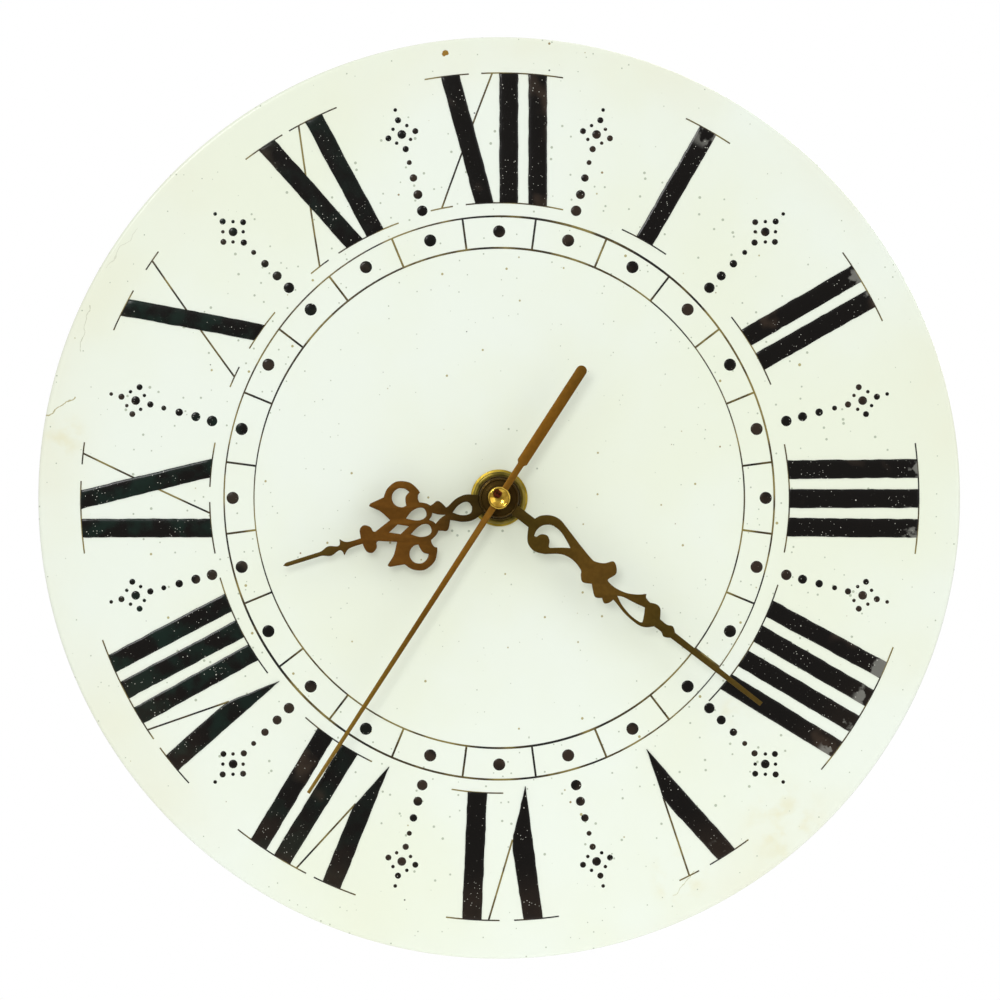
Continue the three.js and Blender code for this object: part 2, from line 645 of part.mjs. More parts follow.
function coilBobbin() {
  const low = COIL_LOW;
  const high = COIL_HIGH;
  const spool = upright([
    [0, low], [COIL_FLANGE, low], [COIL_FLANGE, low + 1], [COIL_BARREL, low + 1],
    [COIL_BARREL, high - 1], [COIL_FLANGE, high - 1], [COIL_FLANGE, high], [0, high],
  ]);
  const halfX = CORE_WIDTH / 2 + GAP;
  const halfY = CORE_THICKNESS / 2 + GAP;
  const hole = box(COIL_X - halfX, COIL_X + halfX, COIL_Y - halfY, COIL_Y + halfY, low - 1, high + 1);
  return spool.subtract(hole);
}

function coilWinding() {
  const low = COIL_LOW + 1 + GAP;
  const high = COIL_HIGH - 1 - GAP;
  const inner = COIL_BARREL + GAP;
  return upright([[inner, low], [COIL_RADIUS, low], [COIL_RADIUS, high], [inner, high], [inner, low]]);
}

function coilCore() {
  const low = COIL_LOW - CORE_OVERHANG;
  const high = COIL_HIGH + CORE_OVERHANG;
  const [halfX, halfY] = [CORE_WIDTH / 2, CORE_THICKNESS / 2];
  return box(COIL_X - halfX, COIL_X + halfX, COIL_Y - halfY, COIL_Y + halfY, low, high);
}

function circuitBoard() {
  return sheet(roundedRectangle(...BOARD_EDGES, BOARD_CORNER), BOARD_BACK, BOARD_THICKNESS, 2);
}

function chipCover() {
  const profile = CHIP_DROP.map(([radius, height]) => [radius, BOARD_BACK + GAP + height]);
  return at(CHIP_AT, turned(profile, MEDIUM_ROUND));
}

function quartzCrystal() {
  const radius = CRYSTAL_RADIUS;
  const geometry = new THREE.CylinderGeometry(radius, radius, CRYSTAL_LENGTH, ARBOR_ROUND);
  geometry.rotateZ(Math.PI / 2);
  const [x, z] = CRYSTAL_AT;
  geometry.translate(x + CRYSTAL_LENGTH / 2, BOARD_BACK + GAP + radius, z);
  return solid(geometry);
}

// A spring-steel strip: a plate against the end of the cell, and a lead up the side wall to the board.
function contact(side) {
  const [x0, x1] = side > 0 ? [CONTACT_INNER, CONTACT_OUTER] : [-CONTACT_OUTER, -CONTACT_INNER];
  const strip = ({ rear, front, low, high }) => box(x0, x1, front, rear, low, high);
  return join([strip(CONTACT_PLATE), strip(CONTACT_LEAD)]);
}

function battery() {
  const [start, end] = [-CELL_HALF, CELL_HALF];
  const shoulder = end - CELL_NUB_HEIGHT;
  const flat = CELL_RADIUS - CELL_BEVEL;
  const profile = [
    [0, start], [flat, start], [CELL_RADIUS, start + CELL_BEVEL], [CELL_RADIUS, shoulder - CELL_BEVEL],
    [flat, shoulder], [CELL_NUB_RADIUS, shoulder], [CELL_NUB_RADIUS, end], [0, end],
  ];
  const points = profile.map(([radius, x]) => new THREE.Vector2(radius, x));
  const geometry = new THREE.LatheGeometry(points, ROUND);
  geometry.rotateZ(-Math.PI / 2);
  geometry.translate(0, CELL_Y, CELL_Z);
  return solid(geometry);
}

// ---- hands: outlines in [u, v], u along the hand from its axis and v to its left ------------

const HOUR_EDGE = [
  [[4.83, 2.3], [7.0, 3.12], [8.6, 3.25], [10.4, 2.85], [12.2, 1.95], [13.0, 1.62]],
  [[13.0, 1.62], [13.6, 2.85], [14.2, 3.65], [14.85, 3.82], [15.6, 3.5], [16.5, 3.22]],
  [[16.5, 3.22], [17.2, 3.95], [18.0, 4.42], [18.85, 4.82]],
  [[18.85, 4.82], [18.92, 5.6], [18.62, 6.55], [17.97, 6.98]],
  [[17.97, 6.98], [18.45, 8.35], [19.8, 10.22], [22.6, 11.28], [25.25, 10.35], [26.8, 8.55]],
  [[26.8, 8.55], [30.3, 8.1]],
  [[30.3, 8.1], [30.8, 7.6], [30.1, 6.9], [28.5, 5.4], [26.95, 2.78]],
  [[26.95, 2.78], [31.2, 1.2]],
  [[31.2, 1.2], [31.75, 1.5], [32.05, 2.65], [33.4, 3.52], [34.7, 2.75], [35.05, 0.72]],
  [[35.05, 0.72], [37.9, 0.75], [39.2, 1.2], [40.07, 2.1]],
  [[40.07, 2.1], [40.4, 0.85], [41.2, 0.58], [43.2, 1.22], [45.2, 0.58], [46.6, 0.53]],
  [[46.6, 0.53], [54.1, 0.5]],
  [[54.1, 0.5], [55.1, 0]],
];
const HOUR_LEAF_HOLE = [[[6.95, 0], [7.45, 1.2], [8.6, 1.56], [10.3, 1.1], [11.85, 0]]];
const HOUR_KITE_HOLE = [
  [[13.75, 0], [15.3, 0.55], [16.6, 1.36]],
  [[16.6, 1.36], [17.05, 0.65], [17.85, 0]],
];
const HOUR_LOZENGE_HOLE = [[[23.05, 0], [25.5, 1.2]], [[25.5, 1.2], [28.05, 0]]];
const HOUR_DROP_HOLE = [
  [[23.12, 2.0], [21.2, 0.95], [19.6, 0.6], [18.35, 1.05], [18.0, 2.1], [18.35, 3.12], [19.6, 3.56],
    [21.4, 3.2], [23.12, 2.0]],
];
const HOUR_SCROLL_HOLE = [
  [[20.45, 7.92], [21.3, 9.0], [22.8, 9.5], [24.35, 8.8], [25.0, 7.3], [24.55, 5.8], [23.3, 4.93],
    [22.15, 4.95]],
  [[22.15, 4.95], [22.0, 6.1], [21.55, 7.2], [20.45, 7.92]],
];

// Points [u, v] along an arc about the hand's axis.
function arc(radius, from, to, steps) {
  const points = [];
  for (let i = 0; i <= steps; i += 1) {
    const angle = from + (to - from) * i / steps;
    points.push([radius * Math.cos(angle), radius * Math.sin(angle)]);
  }
  return points;
}

// A sheet with each hole's outline punched through it.
function pierced(outline, holes, back, thickness) {
  const punches = holes.map((hole) => sheet(hole, back + CUT, thickness + 2 * CUT));
  return punches.reduce((left, punch) => left.subtract(punch), sheet(outline, back, thickness));
}

function hourHand() {
  const [u, v] = HOUR_EDGE[0][0];
  const boss = arc(HOUR_BOSS, Math.PI, Math.atan2(v, u), 8);
  const flip = (stretches) => stretches.map((stretch) => stretch.map(([a, b]) => [a, -b]));
  const holes = [circle(AXIS, HOUR_TUBE_RADIUS + GAP, THREE.Shape)];
  for (const hole of [HOUR_LEAF_HOLE, HOUR_KITE_HOLE, HOUR_LOZENGE_HOLE]) {
    holes.push(trace(mirrored(hole), EDGE_STEPS));
  }
  for (const hole of [HOUR_DROP_HOLE, HOUR_SCROLL_HOLE]) {
    holes.push(trace(hole, EDGE_STEPS), trace(flip(hole), EDGE_STEPS));
  }
  const outline = trace(mirrored([boss, ...HOUR_EDGE]), EDGE_STEPS);
  return pierced(outline, holes, HOUR_HAND_BACK, HAND_SHEET);
}

const MINUTE_LEFT = [
  [[4.72, 1.32], [9.95, 1.42]],
  [[9.95, 1.42], [10.6, 2.85], [12.4, 4.4], [14.8, 5.05], [17.5, 4.5], [22.5, 3.22], [26.3, 2.35],
    [27.6, 2.22]],
  [[27.6, 2.22], [29.0, 2.75], [30.2, 3.65], [31.3, 5.05], [32.6, 4.6], [33.75, 3.1], [33.2, 1.3]],
  [[33.2, 1.3], [33.1, 0.7], [33.7, 0.4], [35.8, 0.32], [38.6, 1.0], [41.0, 2.4], [42.6, 3.85]],
  [[42.6, 3.85], [43.1, 3.03], [44.55, 2.7]],
  [[44.55, 2.7], [46.2, 3.38], [47.6, 2.95], [48.95, 1.05]],
  [[48.95, 1.05], [51.1, 1.02], [52.5, 1.6], [53.85, 0.72]],
  [[53.85, 0.72], [81.1, 0.56]],
];
const MINUTE_RIGHT = [
  [[81.1, -0.54], [53.85, -0.98]],
  [[53.85, -0.98], [52.3, -1.77], [51.0, -1.22], [48.9, -1.28]],
  [[48.9, -1.28], [47.4, -2.72], [45.3, -3.4], [41.5, -3.24], [38.6, -2.6], [37.1, -2.3]],
  [[37.1, -2.3], [36.8, -3.45], [35.9, -4.35], [34.7, -3.68]],
  [[34.7, -3.68], [33.3, -4.52], [32.0, -3.75], [30.6, -2.5]],
  [[30.6, -2.5], [28.6, -3.55], [27.2, -2.5], [26.4, -1.5], [23.4, -0.8], [20.3, -1.45],
    [17.2, -3.85]],
  [[17.2, -3.85], [14.6, -4.92], [12.0, -4.1], [9.95, -1.2]],
  [[9.95, -1.2], [4.74, -1.25]],
];
const MINUTE_CRESCENT_HOLE = [
  [[12.35, -1.92], [12.02, -0.4], [12.5, 1.3], [14.1, 2.65], [16.4, 2.85], [18.6, 2.25],
    [21.15, 1.15]],
  [[21.15, 1.15], [19.4, -0.08], [17.2, -1.9]],
  [[17.2, -1.9], [16.75, -1.75], [16.1, -0.65], [14.85, 0.05], [13.5, -0.6], [12.95, -1.8],
    [12.35, -1.92]],
];
const MINUTE_WEDGE_HOLE = [
  [[37.35, -0.95], [38.6, -0.28], [41.5, 0.28], [44.3, 0.95]],
  [[44.3, 0.95], [45.1, -0.3], [46.05, -2.15]],
  [[46.05, -2.15], [45.4, -2.58], [42.8, -2.66], [39.6, -2.0], [37.35, -0.95]],
];

function minuteHand() {
  const from = Math.atan2(MINUTE_RIGHT.at(-1)[1][1], MINUTE_RIGHT.at(-1)[1][0]);
  const to = Math.atan2(MINUTE_LEFT[0][0][1], MINUTE_LEFT[0][0][0]);
  const boss = arc(MINUTE_BOSS, from, to - FULL, 14);
  const outline = trace([boss, ...MINUTE_LEFT, ...MINUTE_RIGHT], EDGE_STEPS);
  const holes = [MINUTE_CRESCENT_HOLE, MINUTE_WEDGE_HOLE].map((hole) => trace(hole, EDGE_STEPS));
  holes.push(circle(AXIS, MINUTE_TUBE_RADIUS + GAP, THREE.Shape));
  return pierced(outline, holes, MINUTE_HAND_BACK, HAND_SHEET);
}

const SECOND_TIP = 85.4;
const SECOND_TIP_HALF = 0.42;
const SECOND_ROOT_HALF = 0.82;
const TAIL_NECK = 9.6;
const TAIL_SHOULDER = 10.4;
const TAIL_END = 38.1;
const TAIL_HALF = 1.33;

function secondHand() {
  const half = SECOND_ROOT_HALF;
  const eye = Math.asin(half / SECOND_EYE);
  const reach = SECOND_EYE * Math.cos(eye);
  const outline = new THREE.Shape();
  outline.moveTo(-half, reach);
  outline.lineTo(-SECOND_TIP_HALF, SECOND_TIP);
  outline.lineTo(SECOND_TIP_HALF, SECOND_TIP);
  outline.lineTo(half, reach);
  outline.absarc(0, 0, SECOND_EYE, Math.PI / 2 - eye, -Math.PI / 2 + eye, true);
  outline.lineTo(half, -TAIL_NECK);
  outline.lineTo(TAIL_HALF, -TAIL_SHOULDER);
  outline.absarc(0, -TAIL_END + TAIL_HALF, TAIL_HALF, 0, -Math.PI, true);
  outline.lineTo(-TAIL_HALF, -TAIL_SHOULDER);
  outline.lineTo(-half, -TAIL_NECK);
  outline.absarc(0, 0, SECOND_EYE, -Math.PI / 2 - eye, -1.5 * Math.PI + eye, true);
  outline.holes.push(circle(AXIS, SECOND_EYE_HOLE));
  return sheet(outline, SECOND_HAND_BACK, SECOND_SHEET, 10);
}

// Brass tube behind a hand, which grips the arbor.
function collet(bore, radius, back, front) {
  return ring(bore, radius, back, back - front, MEDIUM_ROUND);
}

function hourCollet() {
  const back = BUSH_FRONT - HAND_CLEARANCE;
  return collet(HOUR_TUBE_RADIUS + GAP, HOUR_COLLET_RADIUS, back, HOUR_HAND_BACK + GAP);
}

function minuteCollet() {
  const back = HOUR_TUBE_FRONT - GAP;
  return collet(MINUTE_TUBE_RADIUS + GAP, MINUTE_COLLET_RADIUS, back, MINUTE_HAND_BACK + GAP);
}

// Polished cap with a shallow dish in front and a blind bore for the seconds arbor behind.
function secondHub() {
  const bore = SECOND_ARBOR_RADIUS + GAP;
  const neck = HUB_NECK_RADIUS;
  const dish = HUB_DISH.map(([radius, depth]) => [radius, HUB_FRONT + depth]);
  const shoulder = [neck, dish.at(-1)[1]];
  const socket = [[neck, HUB_BACK], [bore, HUB_BACK], [bore, HUB_BORE_END], [0, HUB_BORE_END]];
  return turned([...dish, shoulder, ...socket], MEDIUM_ROUND);
}

// ---- assembly ------------------------------------------------------------------------------

const clock = new THREE.Group();

function arborGroup([x, z], angle = 0) {
  const group = new THREE.Group();
  group.position.set(x, 0, z);
  group.rotation.y = angle;
  clock.add(group);
  return group;
}

piece('dial', dial(), ENAMEL, clock);
piece('threaded_bush', threadedBush(), BRASS, clock);
piece('brass_washer', brassWasher(), BRASS, clock);
piece('mounting_nut', mountingNut(), BRASS, clock);
piece('rubber_gasket', rubberGasket(), RUBBER, clock);
piece('hanger_plate', hangerPlate(), STEEL, clock);
piece('front_case', frontCase(), BLACK_PLASTIC, clock);
piece('rear_cover', rearCover(), BLACK_PLASTIC, clock);
piece('middle_plate', middlePlate(), GREY_PLASTIC, clock);
piece('train_bridge', trainBridge(), GREY_PLASTIC, clock);

const hourHandGroup = arborGroup(AXIS, HOUR_HAND_ANGLE);
piece('hour_hand', hourHand(), BRONZE, hourHandGroup);
piece('hour_hand_collet', hourCollet(), BRASS, hourHandGroup);
piece('hour_wheel', hourWheel(), BRASS, arborGroup(AXIS));

const minuteHandGroup = arborGroup(AXIS, MINUTE_HAND_ANGLE);
piece('minute_hand', minuteHand(), MINUTE_BRONZE, minuteHandGroup);
piece('minute_hand_collet', minuteCollet(), BRASS, minuteHandGroup);
piece('minute_arbor', minuteArbor(), BRASS, arborGroup(AXIS));

const secondHandGroup = arborGroup(AXIS, SECOND_HAND_ANGLE);
piece('second_hand', secondHand(), SECOND_BRONZE, secondHandGroup);
piece('second_hand_hub', secondHub(), BRASS, secondHandGroup);
piece('second_wheel', secondWheel(), WHITE_PLASTIC, arborGroup(AXIS));

piece('centre_wheel', centreWheel(), BRASS, arborGroup(AXIS));
piece('third_wheel', thirdWheel(), WHITE_PLASTIC, arborGroup(THIRD_AT));
piece('fifth_wheel', fifthWheel(), WHITE_PLASTIC, arborGroup(FIFTH_AT));
piece('minute_wheel', minuteWheel(), WHITE_PLASTIC, arborGroup(MOTION_AT));

const settingGroup = arborGroup(SETTING_AT);
piece('setting_arbor', settingArbor(), WHITE_PLASTIC, settingGroup);
piece('setting_knob', settingKnob(), BLACK_PLASTIC, settingGroup);

const rotorGroup = arborGroup(ROTOR_AT);
piece('rotor_pinion', rotorPinion(), WHITE_PLASTIC, rotorGroup);
piece('rotor_magnet', rotorMagnet(), MAGNET, rotorGroup);
piece('stator', stator(), STEEL, clock);
piece('coil_bobbin', coilBobbin(), WHITE_PLASTIC, clock);
piece('coil_winding', coilWinding(), COPPER, clock);
piece('coil_core', coilCore(), STEEL, clock);

piece('circuit_board', circuitBoard(), BOARD_GREEN, clock);
piece('chip_cover', chipCover(), BLACK_PLASTIC, clock);
piece('quartz_crystal', quartzCrystal(), STEEL, clock);
piece('positive_contact', contact(1), STEEL, clock);
piece('negative_contact', contact(-1), STEEL, clock);
piece('battery_cell', battery(), CELL_LABEL, clock);

export default clock;
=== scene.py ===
"""Dresses the enamel-dial wall clock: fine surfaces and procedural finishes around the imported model."""

import json
import logging
import math
from dataclasses import dataclass, field
from enum import Enum

import bmesh
import bpy
import numpy as np
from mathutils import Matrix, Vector
from mathutils.geometry import tessellate_polygon

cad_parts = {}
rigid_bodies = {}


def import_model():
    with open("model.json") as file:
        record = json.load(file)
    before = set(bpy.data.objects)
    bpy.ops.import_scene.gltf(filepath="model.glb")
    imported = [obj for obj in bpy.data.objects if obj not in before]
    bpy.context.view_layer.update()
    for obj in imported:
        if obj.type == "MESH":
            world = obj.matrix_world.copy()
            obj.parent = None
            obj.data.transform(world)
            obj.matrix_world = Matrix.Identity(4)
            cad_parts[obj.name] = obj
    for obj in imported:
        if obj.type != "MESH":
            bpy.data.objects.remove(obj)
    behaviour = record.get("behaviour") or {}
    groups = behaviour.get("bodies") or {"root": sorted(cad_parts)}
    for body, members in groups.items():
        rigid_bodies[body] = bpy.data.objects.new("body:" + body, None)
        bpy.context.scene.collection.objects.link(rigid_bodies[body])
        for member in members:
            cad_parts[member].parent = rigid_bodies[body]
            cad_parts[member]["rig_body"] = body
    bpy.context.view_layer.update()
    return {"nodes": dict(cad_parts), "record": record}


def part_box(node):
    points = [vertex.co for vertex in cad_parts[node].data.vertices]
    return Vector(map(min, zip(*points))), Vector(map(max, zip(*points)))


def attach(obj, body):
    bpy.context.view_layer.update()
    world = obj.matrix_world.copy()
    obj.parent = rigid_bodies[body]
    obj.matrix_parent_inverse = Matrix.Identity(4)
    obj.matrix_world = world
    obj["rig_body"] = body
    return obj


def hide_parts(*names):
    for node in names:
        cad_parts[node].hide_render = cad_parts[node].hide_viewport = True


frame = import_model()

MM = 0.001
TURN = 2 * np.pi
ROOT_BODY = "clock_body"

DIAL_DOME = 3.0 * MM
DIAL_THICKNESS = 2.0 * MM
DEGREES_PER_HOUR = 30

# Lengths in metres below which points are one point, or an edge or a step counts as nothing.
SAME_POINT = 1e-7
PACKED_SAME_POINT = 1e-6
SHORTEST_EDGE = 1e-8
LEAST_LENGTH = 1e-9

# Bends in degrees: faces that meet at more than a crease stay sharp, and at less than a flat are one.
RELIEF_CREASE = 38.0
MOULDED_CREASE = 35.0
TURNED_CREASE = 50.0
MARK_CREASE = 60.0
FLAT_BEND = 1.0

logging.basicConfig(level=logging.INFO, format="%(message)s")
log = logging.getLogger("clock")


class Slot(Enum):
    """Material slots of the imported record."""

    ENAMEL = "white_enamel"
    BRASS = "brass"
    AGED_BRASS = "aged_brass"
    POLISHED_BRASS = "polished_brass"
    HOUR_BRONZE = "hour_bronze"
    MINUTE_BRONZE = "minute_bronze"
    SECOND_BRONZE = "second_bronze"
    RUBBER = "rubber"
    ZINC_STEEL = "zinc_steel"
    SPRING_STEEL = "spring_steel"
    SOFT_IRON = "soft_iron"
    BLACK_PLASTIC = "black_plastic"
    GREY_PLASTIC = "grey_plastic"
    WHITE_PLASTIC = "white_plastic"
    COPPER_WIRE = "copper_wire"
    BOARD = "green_board"
    BLACK_RESIN = "black_resin"
    MAGNET = "dark_magnet"
    CELL_JACKET = "cell_jacket"


# ---- surfaces ----------------------------------------------------------------------------------


@dataclass(frozen=True)
class Surface:
    """A patch of faces: points in metres and the corner numbers of each face."""

    points: np.ndarray
    faces: list

    @classmethod
    def grid(cls, points: np.ndarray, wrap_rows: bool = False, wrap_columns: bool = False) -> "Surface":
        """Joins a grid of points into quads.

        Args:
            points: rows x columns x 3 array of places.
            wrap_rows: joins the last row to the first.
            wrap_columns: joins the last column to the first.

        Returns:
            The patch.
        """
        rows, columns = points.shape[:2]
        index = np.arange(rows * columns).reshape(rows, columns)
        index = np.vstack([index, index[:1]]) if wrap_rows else index
        index = np.hstack([index, index[:, :1]]) if wrap_columns else index
        corners = [index[:-1, :-1], index[1:, :-1], index[1:, 1:], index[:-1, 1:]]
        return cls(points.reshape(-1, 3), np.stack(corners, axis=-1).reshape(-1, 4).tolist())

    @classmethod
    def joined(cls, surfaces: list["Surface"]) -> "Surface":
        """Puts several patches into one, with their corner numbers shifted to match.

        Args:
            surfaces: the patches.

        Returns:
            One patch.
        """
        starts = np.cumsum([0] + [len(surface.points) for surface in surfaces])
        faces = [
            [corner + int(start) for corner in face]
            for surface, start in zip(surfaces, starts)
            for face in surface.faces
        ]
        return cls(np.vstack([surface.points for surface in surfaces]), faces)


def turned(profile: np.ndarray, columns: int, closed: bool = True) -> Surface:
    """Turns a profile about the Y axis: x = r sin(a), z = r cos(a), y as given.

    Args:
        profile: n x 2 array of radius and y, in metres.
        columns: steps round the axis.
        closed: joins the last profile point to the first.

    Returns:
        The turned surface; points of radius zero meet in a pole.
    """
    angle = np.linspace(0, TURN, columns, endpoint=False)
    radius = profile[:, 0][:, None]
    height = np.repeat(profile[:, 1][:, None], columns, axis=1)
    points = np.stack([radius * np.sin(angle), height, radius * np.cos(angle)], axis=-1)
    return Surface.grid(points, wrap_rows=closed, wrap_columns=True)


def make_piece(
    name: str,
    surfaces: list[Surface],
    material: bpy.types.Material,
    slot: Slot,
    body: str = ROOT_BODY,
    replaces: tuple[str, ...] = (),
    crease: float = RELIEF_CREASE,
) -> bpy.types.Object:
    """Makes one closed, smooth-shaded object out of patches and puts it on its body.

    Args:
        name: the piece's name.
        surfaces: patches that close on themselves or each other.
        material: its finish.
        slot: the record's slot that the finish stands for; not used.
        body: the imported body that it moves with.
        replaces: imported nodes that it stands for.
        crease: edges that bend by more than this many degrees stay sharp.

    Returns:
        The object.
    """
    whole = Surface.joined(surfaces)
    mesh = bpy.data.meshes.new(name)
    mesh.from_pydata(whole.points.tolist(), [], whole.faces)
    shell = bmesh.new()
    shell.from_mesh(mesh)
    bmesh.ops.remove_doubles(shell, verts=shell.verts, dist=SAME_POINT)
    bmesh.ops.dissolve_degenerate(shell, edges=shell.edges, dist=SHORTEST_EDGE)
    bmesh.ops.recalc_face_normals(shell, faces=shell.faces)
    shell.to_mesh(mesh)
    shell.free()
    return finish_piece(name, mesh, material, body, replaces, crease)


def finish_piece(
    name: str,
    mesh: bpy.types.Mesh,
    material: bpy.types.Material,
    body: str,
    replaces: tuple[str, ...],
    crease: float,
) -> bpy.types.Object:
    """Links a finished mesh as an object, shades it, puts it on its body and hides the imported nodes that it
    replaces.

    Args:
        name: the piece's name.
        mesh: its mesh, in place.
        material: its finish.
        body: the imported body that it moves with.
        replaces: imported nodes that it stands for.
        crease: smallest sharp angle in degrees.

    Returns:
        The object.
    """
    mesh.polygons.foreach_set("use_smooth", np.ones(len(mesh.polygons), dtype=bool))
    mesh.set_sharp_from_angle(angle=math.radians(crease))
    mesh.materials.clear()
    mesh.materials.append(material)
    piece = bpy.data.objects.new(name, mesh)
    bpy.context.scene.collection.objects.link(piece)
    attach(piece, body)
    if replaces:
        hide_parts(*replaces)
    log.info("%s: %d faces on %s", name, len(mesh.polygons), body)
    return piece


def softened(node: str, edge: float, material: bpy.types.Material) -> bpy.types.Object:
    """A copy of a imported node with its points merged, its flats made whole and its edges rounded.

    Args:
        node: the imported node, which the copy stands for.
        edge: width of the rounded edge, in metres.
        material: its finish.

    Returns:
        The object.
    """
    mesh = frame["nodes"][node].data.copy()
    mesh.name = f"{node}_shell"
    shell = bmesh.new()
    shell.from_mesh(mesh)
    bmesh.ops.remove_doubles(shell, verts=shell.verts, dist=PACKED_SAME_POINT)
    flat = math.radians(FLAT_BEND)
    bmesh.ops.dissolve_limit(shell, angle_limit=flat, verts=shell.verts, edges=shell.edges)
    shell.to_mesh(mesh)
    shell.free()
    body = frame["nodes"][node]["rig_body"]
    piece = finish_piece(mesh.name, mesh, material, body, (node,), MOULDED_CREASE)
    bevel = piece.modifiers.new("rounded_edges", "BEVEL")
    bevel.width = edge
    bevel.segments = 2
    bevel.limit_method = "ANGLE"
    bevel.angle_limit = math.radians(MOULDED_CREASE)
    bevel.harden_normals = True
    return piece


# ---- node graphs and finishes -----------------------------------------------------------------


def srgb(red: int, green: int, blue: int) -> tuple[float, float, float, float]:
    """A screen colour as the linear colour that shaders take, by the sRGB transfer curve.

    Args:
        red: 0 to 255.
        green: 0 to 255.
        blue: 0 to 255.

    Returns:
        Linear red, green and blue, and an alpha of 1.
    """
    share = np.array([red, green, blue]) / 255
    linear = np.where(share <= 0.04045, share / 12.92, ((share + 0.055) / 1.055) ** 2.4)
    return (*linear.tolist(), 1.0)


class Nodes:
    """Adds nodes to a tree by short calls."""

    def __init__(self, tree: bpy.types.NodeTree) -> None:
        """Takes the tree."""
        self.tree = tree

    def add(self, kind: str, inputs: dict, **settings: object) -> bpy.types.Node:
        """Adds a node.

        Args:
            kind: the node's type name.
            inputs: socket name or number to a value or another node's output.
            settings: the node's own properties.

        Returns:
            The node.
        """
        node = self.tree.nodes.new(kind)
        for key, value in settings.items():
            setattr(node, key, value)
        for key, value in inputs.items():
            self.feed(node.inputs[key], value)
        return node

    def feed(self, socket: bpy.types.NodeSocket, value: object) -> None:
        """Links another node's output to a socket, or sets the socket's own value.

        Args:
            socket: the input.
            value: an output socket or a plain value.
        """
        if isinstance(value, bpy.types.NodeSocket):
            self.tree.links.new(value, socket)
        else:
            socket.default_value = value


class Graph(Nodes):
    """One node material; places are Object coordinates in metres."""

    def __init__(self, name: str) -> None:
        """Starts a material with a Principled shader.

        Args:
            name: the material's name.
        """
        self.material = bpy.data.materials.new(name)
        self.material.use_nodes = True
        super().__init__(self.material.node_tree)
        self.shader = self.tree.nodes["Principled BSDF"]
        self.place = self.add("ShaderNodeTexCoord", {}).outputs["Object"]

    def set(self, **values: object) -> None:
        """Feeds the shader's sockets; underscores in a name stand for spaces."""
        for key, value in values.items():
            self.feed(self.shader.inputs[key.replace("_", " ")], value)

    def maths(self, operation: str, first: object, second: object = 0.0, clamp: bool = False) -> object:
        """The result of one arithmetic step."""
        node = self.add("ShaderNodeMath", {0: first, 1: second}, operation=operation, use_clamp=clamp)
        return node.outputs[0]

    def times(self, first: object, second: object) -> object:
        """The product of two values."""
        return self.maths("MULTIPLY", first, second)

    def plus(self, first: object, second: object) -> object:
        """The sum of two values."""
        return self.maths("ADD", first, second)

    def minus(self, first: object, second: object) -> object:
        """The first value less the second."""
        return self.maths("SUBTRACT", first, second)

    def noise(self, scale: float, detail: float = 3.0, vector: object = None) -> object:
        """Smooth noise between 0 and 1, with scale in features per metre."""
        inputs = {"Vector": vector or self.place, "Scale": scale, "Detail": detail}
        return self.add("ShaderNodeTexNoise", inputs).outputs[0]

    def cells(self, scale: float) -> bpy.types.Node:
        """Voronoi cells: distance from each cell's middle, and a random colour for each cell."""
        return self.add("ShaderNodeTexVoronoi", {"Vector": self.place, "Scale": scale})

    def band(self, value: object, low: float, high: float) -> object:
        """A value moved from the range low..high to 0..1, held at the ends and eased."""
        inputs = {"Value": value, "From Min": low, "From Max": high}
        return self.add("ShaderNodeMapRange", inputs, interpolation_type="SMOOTHSTEP").outputs[0]

    def mix(self, factor: object, first: object, second: object) -> object:
        """The first colour at factor 0, turning into the second at factor 1."""
        inputs = {0: factor, 6: first, 7: second}
        return self.add("ShaderNodeMix", inputs, data_type="RGBA").outputs[2]

    def ramp(self, value: object, stops: list[tuple[float, tuple]]) -> object:
        """A colour ramp.

        Args:
            value: place along the ramp, 0 to 1.
            stops: two or more pairs of place and colour.

        Returns:
            The colour.
        """
        node = self.add("ShaderNodeValToRGB", {0: value})
        elements = node.color_ramp.elements
        for _ in stops[2:]:
            elements.new(0.5)
        for element, (place, colour) in zip(elements, stops):
            element.position = place
            element.color = colour
        return node.outputs[0]

    def axes(self) -> tuple[object, object, object]:
        """The X, Y and Z parts of the place."""
        node = self.add("ShaderNodeSeparateXYZ", {0: self.place})
        return node.outputs[0], node.outputs[1], node.outputs[2]

    def reach(self, centre: tuple[float, float] = (0.0, 0.0)) -> object:
        """Distance from an axis along Y.

        Args:
            centre: X and Z of the axis.

        Returns:
            The distance in metres.
        """
        x, _, z = self.axes()
        across = self.minus(x, centre[0])
        up = self.minus(z, centre[1])
        return self.maths("SQRT", self.plus(self.times(across, across), self.times(up, up)))

    def bump(self, height: object, depth: float, strength: float = 1.0) -> None:
        """Raises the shading by height times depth, in metres."""
        inputs = {"Height": height, "Distance": depth, "Strength": strength}
        self.set(Normal=self.add("ShaderNodeBump", inputs).outputs[0])

    def spots(self, scale: float, size: float, share: float) -> object:
        """A mask of soft round spots: one in some cells, chosen by the cell's random colour.

        Args:
            scale: cells per metre.
            size: spot radius as a part of a cell.
            share: part of the cells that have a spot.

        Returns:
            The mask, 1 inside a spot.
        """
        cells = self.cells(scale)
        chance = self.add("ShaderNodeSeparateColor", {0: cells.outputs["Color"]}).outputs
        chosen = self.maths("LESS_THAN", chance[0], share)
        # The smallest spot's radius as a part of the size; every spot's edge is that soft.
        smallest = 0.3
        radius = self.times(self.plus(chance[1], smallest), size)
        depth = self.minus(radius, cells.outputs["Distance"])
        edge = self.maths("DIVIDE", depth, size * smallest, clamp=True)
        return self.times(edge, chosen)


@dataclass(frozen=True)
class Scratch:
    """A fine crack in the enamel between two places, with its half width, its colour and strength."""

    start: tuple[float, float]
    end: tuple[float, float]
    half_width: float
    colour: tuple
    strength: float


